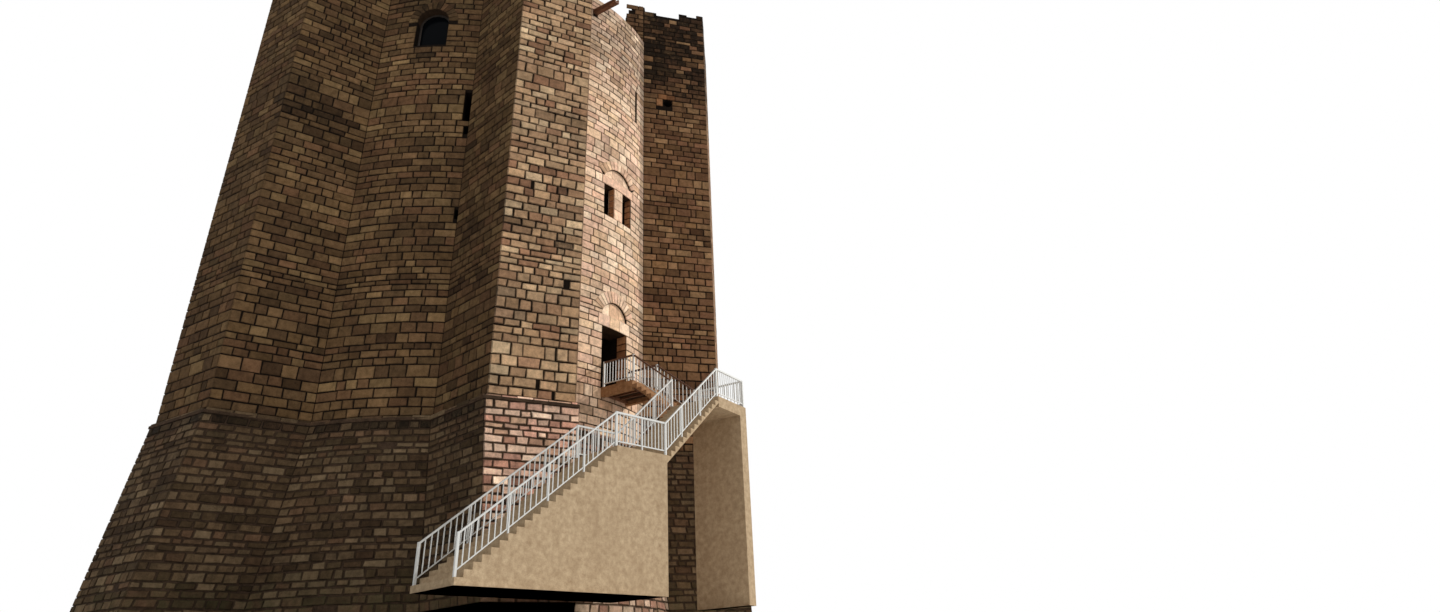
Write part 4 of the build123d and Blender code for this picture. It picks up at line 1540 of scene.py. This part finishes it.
@dataclass
class Cladding:
    """Stones of the six buttresses and the six bays, from the ground to the turrets.

    The small places in `lost`, on the rough nose, have lost their facing. They are given by their
    left, right, low and high edge.
    """

    azimuths: dict[str, float] = field(
        default_factory=lambda: {
            "left": -90.0, "front": -30.0, "right": 30.0,
            "back_right": 90.0, "back": 150.0, "back_left": 210.0,
        }
    )
    shaded: dict[tuple[str, Side], str] = field(
        default_factory=lambda: {
            ("left", Side.NOSE): "deep_shade", ("left", Side.RIGHT): "shade",
            ("front", Side.LEFT): "deep_shade", ("front", Side.NOSE): "nose",
            # The right turret's left flank takes darker stone as painted shade.
            ("right", Side.LEFT): "ruddy",
        }
    )
    footed: dict[str, str] = field(
        default_factory=lambda: {
            "shade": "low_shade", "deep_shade": "low_shade", "ruddy": "low_shade", "nose": "pale_plinth",
        }
    )
    bays: dict[str, float] = field(
        default_factory=lambda: {
            "entrance": 0.0, "right": 60.0, "back_right": 120.0,
            "back": 180.0, "back_left": 240.0, "window": 300.0,
        }
    )
    lost: tuple[Edges, ...] = (
        (1.68, 1.79, 6.98, 7.32), (2.28, 2.36, 6.70, 6.92),
        (2.50, 2.72, 11.20, 11.36), (0.97, 1.07, 15.06, 15.28),
    )

    def build(self) -> None:
        """Lay all faces."""
        for name, azimuth in self.azimuths.items():
            self.foot(name, azimuth)
            self.buttress(name, azimuth)
        for name, azimuth in self.bays.items():
            self.bay_foot(name, azimuth)
            self.bay(name, azimuth)

    def faces(
        self,
        azimuth: float,
        low: float,
        high: float,
        grown: tuple[Plan, Plan],
        radii: Plan,
    ) -> dict[Side, FlatWall]:
        """Nose and flanks of a buttress between two levels.

        Args:
            azimuth: Azimuth of the buttress.
            low, high: Levels of the foot and the head of the faces.
            grown: Sideways and outward growth at the foot and at the head.
            radii: Radius of the drum at the foot and at the head.

        Returns:
            The faces by side.
        """
        lines = []
        for (side, nose), radius in zip(grown, radii):
            corner = SIZES.flank(SIZES.reach + nose, side)
            root = SIZES.flank_root(side, radius)
            mirror = [(-x, y) for x, y in (root, corner)]
            points = [turned(point, azimuth) for point in (*mirror, corner, root)]
            lines.append(points)
        foot, head = lines
        mitre = SIZES.mitre
        return {
            Side.LEFT: FlatWall((foot[0], foot[1]), (head[0], head[1]), low, high, (0.0, mitre)),
            Side.NOSE: FlatWall((foot[1], foot[2]), (head[1], head[2]), low, high, (mitre, mitre)),
            Side.RIGHT: FlatWall((foot[2], foot[3]), (head[2], head[3]), low, high, (mitre, 0.0)),
        }

    def foot(self, name: str, azimuth: float) -> None:
        """Lay the battered foot of a buttress.

        Args:
            name: Name of the buttress.
            azimuth: Azimuth of its middle.
        """
        high = SIZES.string_foot
        grown = (
            (SIZES.offset + SIZES.flank_batter * high, SIZES.offset + SIZES.nose_batter * high),
            (SIZES.offset, SIZES.offset),
        )
        radii = (SIZES.drum + SIZES.offset + SIZES.drum_batter * high, SIZES.drum + SIZES.offset)
        for side, wall in self.faces(azimuth, 0.0, high, grown, radii).items():
            finish = self.footed.get(self.shaded.get((name, side), ""), "plinth")
            stones = Masonry(f"stones_foot_{name}_{side.value}", finish, "plinth_masonry")
            stones.lay(wall, Bond.PLINTH)
            stones.ledge(wall)
            stones.made()

    def buttress(self, name: str, azimuth: float) -> None:
        """Lay the nose and flanks of a buttress and the inner face of its turret.

        Args:
            name: Name of the buttress.
            azimuth: Azimuth of its middle.
        """
        ruined = name == "right"
        still = ((0.0, 0.0), (0.0, 0.0))
        walls = self.faces(azimuth, SIZES.string_top, SIZES.turret, still, (SIZES.drum, SIZES.drum))
        for side, wall in walls.items():
            finish = self.shaded.get((name, side), "wall")
            bond = Bond.ROUGH if finish == "nose" else Bond.PLAIN
            stones = Masonry(f"stones_buttress_{name}_{side.value}", finish, "wall_masonry")
            top = Ruin.top(side, wall.width) if ruined else None
            holed = ruined and side is Side.LEFT
            gaps = Ruin.gaps(wall.width) if holed else None
            if finish == "nose":
                gaps = [Gap.oblong(*edges) for edges in self.lost]
            stones.lay(wall, bond, gaps, top)
            stones.made()
            if holed:
                Ruin.frame(wall)
        if ruined:
            Ruin.dress(azimuth)
        else:
            self.turret_back(name, azimuth)

    def turret_back(self, name: str, azimuth: float) -> None:
        """Lay the faces of a turret that look over the wall head.

        Args:
            name: Name of the buttress.
            azimuth: Azimuth of its middle.
        """
        inner = SIZES.turret_inner
        half = inner * math.tan(math.radians(SIZES.root_angle))
        outer = SIZES.parapet_face * math.tan(math.radians(SIZES.root_angle))
        root = (SIZES.root_half, -SIZES.root_face)
        lines = (
            ((half, -inner), (-half, -inner), SIZES.walk),
            ((-half, -inner), (-outer, -SIZES.parapet_face), SIZES.walk),
            ((outer, -SIZES.parapet_face), (half, -inner), SIZES.walk),
            ((-outer, -SIZES.parapet_face), (-root[0], root[1]), SIZES.parapet),
            (root, (outer, -SIZES.parapet_face), SIZES.parapet),
        )
        stones = Masonry(f"stones_turret_{name}", "wall", "wall_masonry")
        for start, stop, low in lines:
            line = (turned(start, azimuth), turned(stop, azimuth))
            stones.lay(FlatWall(line, line, low, SIZES.turret), Bond.PLAIN)
        stones.made()

    def bay_foot(self, name: str, azimuth: float) -> None:
        """Lay the battered foot of the drum between two buttresses.

        Args:
            name: Name of the bay.
            azimuth: Azimuth of its middle.
        """
        high = SIZES.string_foot
        ends = []
        for level in (0.0, high):
            side = SIZES.offset + SIZES.flank_batter * (high - level)
            radius = SIZES.drum + SIZES.offset + SIZES.drum_batter * (high - level)
            x, y = SIZES.flank_root(side, radius)
            ends.append((radius, math.radians(30) - math.atan2(x, -y)))
        finish = "low_shade" if name == "window" else "plinth"
        stones = Masonry(f"stones_bay_foot_{name}", finish, "plinth_masonry")
        wall = RoundWall(azimuth, ends[0], ends[1], 0.0, high)
        stones.lay(wall, Bond.PLINTH)
        stones.ledge(wall)
        stones.made()

    def bay(self, name: str, azimuth: float) -> None:
        """Lay the drum between two buttresses, and the inner face of its parapet.

        Args:
            name: Name of the bay.
            azimuth: Azimuth of its middle.
        """
        ring = (SIZES.drum, math.radians(SIZES.bay_angle))
        wall = RoundWall(azimuth, ring, ring, SIZES.string_top, SIZES.parapet)
        middle = wall.width / 2
        # The entrance bay takes paler stone as painted sunlight, the window bay darker stone as painted
        # shade.
        finish = {"entrance": "door_bay", "window": "shade"}.get(name, "wall")
        bond = Bond.FINE if name == "entrance" else Bond.PLAIN
        gaps = {"entrance": Openings.entrance, "window": Openings.window}.get(name, lambda _: [])(middle)
        stones = Masonry(f"stones_bay_{name}", finish, "wall_masonry")
        stones.lay(wall, bond, gaps)
        back = (SIZES.parapet_face, math.radians(SIZES.bay_angle))
        stones.lay(RoundWall(azimuth, back, back, SIZES.walk, SIZES.parapet, inward=True), Bond.PLAIN)
        stones.made()
        if name == "entrance":
            Openings.dress_entrance(wall, middle)
        if name == "window":
            Openings.dress_window(wall, middle)


@dataclass(frozen=True)
class Ruin:
    """Broken head of the turret on the right, and the worn hole in its flank.

    The places round the hole are given by their left, right, low and high edge, from its middle.
    """

    inner: float = 8.17
    hole: float = 0.385
    free: tuple[Edges, ...] = (
        (-0.26, 0.24, 25.02, 25.50), (-0.52, 0.40, 25.50, 25.80), (-0.62, -0.26, 25.02, 25.50),
    )
    hood: tuple[Edges, ...] = ((-0.52, -0.04, 25.50, 25.80), (-0.04, 0.40, 25.50, 25.78))
    jamb: tuple[Edges, ...] = ((-0.62, -0.27, 25.03, 25.49),)
    strips: tuple[tuple[float, tuple[Plan, ...]], ...] = (
        (-0.26, (
            (0.031, 0.67), (0.069, 0.85), (0.237, 0.99), (0.389, 0.885),
            (0.686, 0.82), (0.793, 0.97), (0.919, 0.93), (1.0, 0.99),
        )),
        (0.28, ((0.659, 0.16), (0.820, 0.30), (1.0, 0.74))),
        (9.0, ((0.326, 0.50), (0.596, 0.34), (0.820, 0.48), (1.0, 0.62))),
    )

    @classmethod
    def height(cls, across: float, out: float) -> float:
        """Height of the broken masonry at a share of the half width and of the reach.

        Args:
            across: Share of the half width, negative on the left.
            out: Share of the broken head, from the wall walk to the nose.

        Returns:
            The level of the top there.
        """
        steps = next(steps for edge, steps in cls.strips if across <= edge)
        share = next((up for stop, up in steps if out <= stop + 1e-6), steps[-1][1])
        return SIZES.parapet + share * (SIZES.turret - SIZES.parapet)

    @classmethod
    def share(cls, distance: float) -> float:
        """Share of the length of the broken head, from the distance to the axis."""
        return (distance - cls.inner) / (SIZES.reach - cls.inner)

    @classmethod
    def top(cls, side: Side, width: float) -> Callable[[float], float]:
        """Height of the broken top along one face of the turret.

        Args:
            side: Face of the buttress.
            width: Width of the face.

        Returns:
            The height by the measure along the face.
        """
        def reach(share: float) -> float:
            """Share of the reach from the wall walk, from the share along the flank."""
            return cls.share(SIZES.root_face + share * (SIZES.reach - SIZES.root_face))

        if side is Side.NOSE:
            return lambda along: cls.height((along / width * 2 - 1) * SIZES.nose_half / SIZES.root_half, 1.0)
        if side is Side.LEFT:
            return lambda along: cls.height(-1.0, reach(along / width))
        return lambda along: cls.height(1.0, reach(1 - along / width))

    @classmethod
    def gaps(cls, width: float) -> list[Gap]:
        """Gaps round the worn hole in the flank."""
        return [Gap.oblong(*edges) for edges in cls.about(width, cls.free)]

    @classmethod
    def about(cls, width: float, places: tuple[Edges, ...]) -> list[Edges]:
        """Set places that are given from the middle of the hole on a face of a width."""
        middle = cls.hole * width
        return [(middle + left, middle + right, low, high) for left, right, low, high in places]

    @classmethod
    def frame(cls, wall: FlatWall) -> None:
        """Lay the pale stones round the worn hole.

        Args:
            wall: The flank that holds it.
        """
        stones = Masonry("stones_flank_hole", "reveal", "wall_masonry")
        stones.slabs(wall, cls.about(wall.width, cls.hood), 0.05)
        stones.slabs(wall, cls.about(wall.width, cls.jamb), 0.04)
        stones.made()

    @classmethod
    def dress(cls, azimuth: float) -> None:
        """Lay the part of the broken head that stands over the wall walk.

        Args:
            azimuth: Azimuth of the buttress under it.
        """
        half = SIZES.flank(cls.inner, 0.0)[0]
        root = SIZES.flank_root(0.0, SIZES.drum)
        lines = {
            Side.LEFT: ((-half, -cls.inner), (-root[0], root[1])),
            Side.RIGHT: (root, (half, -cls.inner)),
            Side.BACK: ((half, -cls.inner), (-half, -cls.inner)),
        }
        # The broken head takes the darker red-brown stone as painted shade.
        stones = Masonry("stones_broken_turret", "ruddy", "wall_masonry")
        for side, (start, stop) in lines.items():
            line = (turned(start, azimuth), turned(stop, azimuth))
            wall = FlatWall(line, line, SIZES.parapet, SIZES.turret)
            stones.lay(wall, Bond.PLAIN, None, cls.inner_top(side, wall.width))
        stones.made()

    @classmethod
    def inner_top(cls, side: Side, width: float) -> Callable[[float], float]:
        """Height of the broken top along one of the inner faces.

        Args:
            side: Face over the wall walk.
            width: Width of the face.

        Returns:
            The height by the measure along the face.
        """
        depth = SIZES.root_face - cls.inner
        if side is Side.BACK:
            return lambda along: cls.height(1.0 - 2 * along / width, 0.0)
        if side is Side.LEFT:
            return lambda along: cls.height(-1.0, cls.share(cls.inner + along / width * depth))
        return lambda along: cls.height(1.0, cls.share(SIZES.root_face - along / width * depth))


@dataclass(frozen=True)
class Arched:
    """Opening under a lintel and a relieving arch, with levels and half widths."""

    shift: float
    half: float
    sill: float
    head: float
    bearing: float
    bed: float
    springing: float
    shoulder: Plan
    crown: float
    centre: float
    radii: Plan
    turns: Plan
    wedges: int

    def gaps(self, middle: float) -> list[Gap]:
        """Gaps of the opening, its lintel and its arch in a bay.

        Args:
            middle: Middle of the bay along its face.

        Returns:
            The gaps, from the sill up.
        """
        place = middle - self.shift
        return [
            Gap.oblong(place - self.half, place + self.half, self.sill, self.head),
            Gap.oblong(place - self.bearing, place + self.bearing, self.head, self.bed),
            Gap.oblong(place - self.half, place + self.half, self.bed, self.springing),
            Gap.arched(place, self.springing, self.half, self.shoulder, self.crown),
        ]

    def arch(self, stones: Masonry, wall: Wall, place: float) -> None:
        """Lay the wedge stones of the arch."""
        stones.ring(wall, (place, self.centre), self.radii, self.turns, self.wedges)


DOORWAY = Arched(
    shift=0.12, half=0.82, sill=8.6, head=11.36, bearing=1.08, bed=11.9, springing=12.1,
    shoulder=(1.264, 12.33), crown=13.1, centre=11.678,
    radii=(0.922, 1.422), turns=(27.25, 152.75), wedges=13,
)
TWIN_WINDOW = Arched(
    shift=0.055, half=0.977, sill=16.8, head=18.4, bearing=1.127, bed=18.85, springing=18.91,
    shoulder=(1.331, 19.117), crown=19.88, centre=18.338,
    radii=(1.132, 1.542), turns=(30.36, 149.64), wedges=11,
)


@dataclass(frozen=True)
class Openings:
    """Doorway, windows and loops, with the gaps that they leave in the coursed stone."""

    loop_azimuth: float = 8.2
    spout_azimuth: float = 12.02
    mullion: float = 0.307
    skin: float = 9.43

    @classmethod
    def entrance(cls, middle: float) -> list[Gap]:
        """Gaps of the bay with the doorway.

        Args:
            middle: Middle of the bay along its face.

        Returns:
            The gaps.
        """
        loop = middle + math.radians(cls.loop_azimuth) * SIZES.drum
        spout = middle - math.radians(cls.spout_azimuth) * SIZES.drum
        return [
            *DOORWAY.gaps(middle),
            *TWIN_WINDOW.gaps(middle),
            Gap.oblong(loop - 0.075, loop + 0.075, 23.4, 25.25),
            Gap.oblong(spout - 0.13, spout + 0.13, 28.1, 28.34),
        ]

    @staticmethod
    def window(middle: float) -> list[Gap]:
        """Gaps of the bay with the round-headed window.

        Args:
            middle: Middle of the bay along its face.

        Returns:
            The gaps.
        """
        light = middle + 0.066
        edge = 2 * middle
        return [
            Gap.oblong(light - 0.729, light + 0.729, 23.95, 25.36),
            Gap.arched(light, 25.36, 1.129, (1.1289, 25.37), 26.489),
            Gap.oblong(edge - 0.3, edge + 0.1, 19.73, 21.29),
            Gap.oblong(edge - 0.2, edge + 0.1, 19.05, 19.48),
            Gap.oblong(edge - 0.15, edge + 0.1, 14.85, 15.30),
        ]

    @classmethod
    def dress_entrance(cls, wall: RoundWall, middle: float) -> None:
        """Lay the arches, lintels and fillings of the doorway and the twin window.

        Args:
            wall: Face of the bay.
            middle: Middle of the bay along it.
        """
        door, twin = middle - DOORWAY.shift, middle - TWIN_WINDOW.shift
        levels = (DOORWAY.head, DOORWAY.bed)
        stones = Masonry("stones_door_arch", "door_bay", "dressed_stone")
        DOORWAY.arch(stones, wall, door)
        stones.slabs(
            wall, [(door - DOORWAY.bearing, door - 0.36, *levels), (door - 0.36, door + 0.3, *levels)],
        )
        stones.slabs(wall, [(door + 0.3, door + DOORWAY.bearing, *levels)])
        stones.made()
        stones = Masonry("stones_twin_window", "door_bay", "dressed_stone")
        TWIN_WINDOW.arch(stones, wall, twin)
        lintel = (twin - TWIN_WINDOW.bearing, twin + TWIN_WINDOW.bearing, TWIN_WINDOW.head, TWIN_WINDOW.bed)
        stones.slabs(wall, [lintel], 0.04)
        for low, high in ((TWIN_WINDOW.sill, 17.32), (17.32, 17.9), (17.9, TWIN_WINDOW.head)):
            stones.slabs(wall, [(twin - cls.mullion, twin + cls.mullion, low, high)], 0.024)
        stones.made()
        stones = Masonry("stones_tympana", "door_bay", "dressed_stone")
        skin = RoundWall(0.0, (cls.skin, wall.foot[1]), (cls.skin, wall.head[1]), wall.low, wall.high)
        scale = skin.width / wall.width
        for place, arched in ((door, DOORWAY), (twin, TWIN_WINDOW)):
            stones.filling(skin, (place * scale, arched.centre), arched.radii[0], arched.bed)
        stones.made()
        cls.dress_reveals()

    @staticmethod
    def dress_reveals() -> None:
        """Lay the side faces of the doorway and of the two lights."""
        # The side faces take the darker brown stone as painted shade.
        stones = Masonry("stones_reveals", "reveal", "dressed_stone")
        for x, depth, arched, right in (
            (0.70, 0.5, DOORWAY, True), (-0.362, 0.30, TWIN_WINDOW, True), (0.922, 0.34, TWIN_WINDOW, True),
            (-0.94, 0.5, DOORWAY, False), (0.252, 0.30, TWIN_WINDOW, False), (
                -1.032, 0.34, TWIN_WINDOW, False,
            ),
        ):
            front = -math.sqrt(SIZES.drum ** 2 - x ** 2)
            outer, inner = (x, front), (x, front + depth)
            line = (inner, outer) if right else (outer, inner)
            stones.lay(FlatWall(line, line, arched.sill, arched.head), Bond.FINE)
        stones.made()

    @staticmethod
    def dress_window(wall: RoundWall, middle: float) -> None:
        """Lay the arch of the round-headed window.

        Args:
            wall: Face of the bay.
            middle: Middle of the bay along it.
        """
        stones = Masonry("stones_round_window", "shade", "dressed_stone")
        stones.ring(wall, (middle + 0.066, 25.36), (0.729, 1.129), (0.0, 180.0), 13)
        stones.made()


@dataclass
class Stair:
    """Handrails on the upper flight, and the joists under the landing at the door."""

    left: float = -0.865
    right: float = 0.775
    rail: float = 0.066
    height: float = 1.1
    joist: float = 0.07
    under: float = 8.4
    edge: float = 11.1
    run: tuple[Plan, ...] = ((-12.952, 7.12), (-11.1, 8.6), (-9.575, 8.6))
    lap: float = 0.004

    def build(self) -> None:
        """Make the handrails and the underside of the landing."""
        self.rails()
        self.underside()

    def underside(self) -> None:
        """Lay a dark board, which paints the shade under the landing, and brown joists between the beams of
        the landing.
        """
        inner = -SIZES.drum
        for name, finish, parts in (
            ("landing_shade_board", "shaded_soffit", [(-0.76, 0.67, -self.edge + 0.02, inner, 0.015)]),
            ("landing_joists", "spout", self.joists(inner)),
        ):
            mesh = bmesh.new()
            for left, right, front, back, depth in parts:
                made = bmesh.ops.create_cube(mesh, size=1.0)["verts"]
                for vert in made:
                    x, y = right if vert.co.x > 0 else left, back if vert.co.y > 0 else front
                    vert.co = Vector((x, y, self.under + 0.005 if vert.co.z > 0 else self.under - depth))
            piece_of(mesh, name, finish)

    def joists(self, inner: float) -> list[tuple[float, ...]]:
        """Left, right, front and back edge and depth of each joist.

        Args:
            inner: Plan line where the landing meets the drum.

        Returns:
            The edges and depth of each joist.
        """
        parts = [
            (-0.77, 0.68, -self.edge, -self.edge + 0.12, 0.13),
            (-0.77, 0.68, inner - 0.14, inner - 0.02, 0.13),
        ]
        for x in (-0.32, 0.16):
            parts.append((x, x + self.joist, -self.edge + 0.1, inner - 0.1, 0.1))
        return parts

    def rails(self) -> None:
        """Make a handrail on each side."""
        for name, x in (("left", self.left), ("right", self.right)):
            mesh = bmesh.new()
            for (y0, z0), (y1, z1) in zip(self.run, self.run[1:]):
                made = bmesh.ops.create_cube(mesh, size=1.0)["verts"]
                for vert in made:
                    far = vert.co.y > 0
                    level = (z1 if far else z0) + self.height
                    low = vert.co.z < 0
                    drop = self.rail if low else -self.lap
                    side = math.copysign(self.rail / 2, vert.co.x)
                    vert.co = Vector((x + side, y1 if far else y0, level - drop))
            piece_of(mesh, f"handrail_{name}", "brown")


def linked(name: str, data: bpy.types.ID) -> bpy.types.Object:
    """Put a new object with its data into the scene.

    Args:
        name: Name of the object.
        data: Its mesh, lamp or camera.

    Returns:
        The object.
    """
    made = bpy.data.objects.new(name, data)
    bpy.context.scene.collection.objects.link(made)
    return made


def piece_of(mesh: BMesh, name: str, finish: str) -> bpy.types.Object:
    """Turn a mesh into a piece that rides on the keep.

    Args:
        mesh: The shape, which is used up.
        name: Name of the piece.
        finish: Name of its finish.

    Returns:
        The piece.
    """
    data = bpy.data.meshes.new(name)
    mesh.to_mesh(data)
    mesh.free()
    piece = linked(name, data)
    data.materials.append(FINISHES.get(finish))
    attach(piece, "root")
    LOG.info("%s: %d faces", name, len(data.polygons))
    return piece


def dress_nodes() -> None:
    """Give every node of the frame its finish."""
    finish_of_slot = {
        "wall_masonry": "mortar", "plinth_masonry": "string", "dressed_stone": "dressed",
        "floor_stone": "paving", "floor_timber": "boards", "roof_lead": "lead",
        "weathered_timber": "spout", "window_frame": "frame", "window_glass": "glass",
        "stair_concrete": "cast", "white_rail": "white", "brown_rail": "white",
    }
    # The lintels and the round window's arch take the dark underside finish, which paints the shade under
    # them.
    finish_of_node = {
        "door_lintel": "shaded_soffit", "twin_window_lintel": "shaded_soffit", "round_window_arch": "shaded_soffit",
        "door_landing": "warm_cast", "upper_flight": "warm_cast", "twin_window_arch": "mortar",
        "door_arch": "mortar",
    }
    slots = {part["node"]: part["material_slot"] for part in frame["record"]["subparts"]}
    for name, node in frame["nodes"].items():
        finish = finish_of_node.get(name, finish_of_slot[slots[name]])
        for holder in node.material_slots:
            holder.material = FINISHES.get(finish)


@dataclass(frozen=True)
class Camera:
    """View of the photograph."""

    place: tuple[float, float, float] = (-28.003, -31.744, -2.641)
    heading: float = 59.14
    pitch: float = 28.69
    roll: float = -2.59
    lens: float = 21.677
    shift: float = -0.0612

    def build(self) -> None:
        """Set up the camera."""
        heading, pitch, roll = (math.radians(value) for value in (self.heading, self.pitch, self.roll))
        ahead = Vector(
            (math.sin(heading) * math.cos(pitch), math.cos(heading) * math.cos(pitch), math.sin(pitch))
        )
        right = Vector((math.cos(heading), -math.sin(heading), 0.0))
        up = right.cross(ahead)
        level_right = right * math.cos(roll) + up * math.sin(roll)
        level_up = up * math.cos(roll) - right * math.sin(roll)
        data = bpy.data.cameras.new("camera")
        data.sensor_width = 36.0
        data.lens = self.lens
        data.shift_y = self.shift
        data.clip_end = 400.0
        camera = linked("camera", data)
        axes = Matrix((level_right, level_up, -ahead)).transposed()
        camera.matrix_world = Matrix.Translation(self.place) @ axes.to_4x4()
        bpy.context.scene.camera = camera


@dataclass(frozen=True)
class Studio:
    """Pale floor, plain world, a lamp from the right and a very soft one from the front."""

    floor: float = 90.0
    lamp: float = 2.7
    side: float = 0.45
    fill: float = 0.45
    key_width: float = 1.2
    side_width: float = 120.0
    key_aim: tuple[float, float, float] = (0.678, -0.493, 0.545)
    side_aim: tuple[float, float, float] = (0.17, -0.80, 0.57)

    def build(self) -> None:
        """Set up the floor, the lamps and the world."""
        mesh = bmesh.new()
        bmesh.ops.create_grid(mesh, x_segments=1, y_segments=1, size=self.floor)
        data = bpy.data.meshes.new("floor")
        mesh.to_mesh(data)
        mesh.free()
        floor = linked("floor", data)
        material, graph, shader = started("floor")
        shader.inputs["Base Color"].default_value = (0.80, 0.80, 0.79, 1.0)
        shader.inputs["Roughness"].default_value = 0.9
        clear = graph.node("ShaderNodeBsdfTransparent")
        mix = graph.node("ShaderNodeMixShader")
        back = graph.node("ShaderNodeNewGeometry").outputs["Backfacing"]
        graph.wire(back, mix.inputs[0])
        graph.wire(shader.outputs[0], mix.inputs[1])
        graph.wire(clear.outputs[0], mix.inputs[2])
        graph.wire(mix.outputs[0], material.node_tree.nodes["Material Output"].inputs["Surface"])
        data.materials.append(material)
        self.sun("key", self.lamp, self.key_width, self.key_aim)
        self.sun("side", self.side, self.side_width, self.side_aim)
        self.world()

    @staticmethod
    def sun(name: str, energy: float, angle: float, aim: tuple[float, float, float]) -> None:
        """Add one distant lamp.

        Args:
            name: Name of the lamp.
            energy: Its strength.
            angle: How wide it looks, in degrees.
            aim: Direction from the keep to the lamp.
        """
        sun = bpy.data.lights.new(name, "SUN")
        sun.energy = energy
        sun.angle = math.radians(angle)
        sun.color = (1.0, 0.965, 0.92)
        lamp = linked(name, sun)
        lamp.rotation_euler = Vector(aim).normalized().to_track_quat("Z", "Y").to_euler()

    def world(self) -> None:
        """White behind the object, and a plain fill everywhere else."""
        world = bpy.data.worlds.new("studio")
        bpy.context.scene.world = world
        world.use_nodes = True
        graph = Graph(world.node_tree)
        background = world.node_tree.nodes["Background"]
        background.inputs["Color"].default_value = (1.0, 1.0, 1.0, 1.0)
        path = graph.node("ShaderNodeLightPath")
        seen = graph.maths("MAXIMUM", path.outputs["Is Camera Ray"], path.outputs["Is Glossy Ray"])
        seen = graph.maths("MAXIMUM", seen, path.outputs["Is Transmission Ray"])
        graph.wire(graph.spread(seen, 0.0, 1.0, self.fill, 1.0), background.inputs["Strength"])


def main() -> None:
    """Build the pieces in order and report them."""
    logging.basicConfig(level=logging.INFO, format="%(message)s")
    Camera().build()
    Studio().build()
    dress_nodes()
    Cladding().build()
    Stair().build()
    bpy.context.scene.view_settings.view_transform = "Standard"


if __name__ == "__main__":
    main()
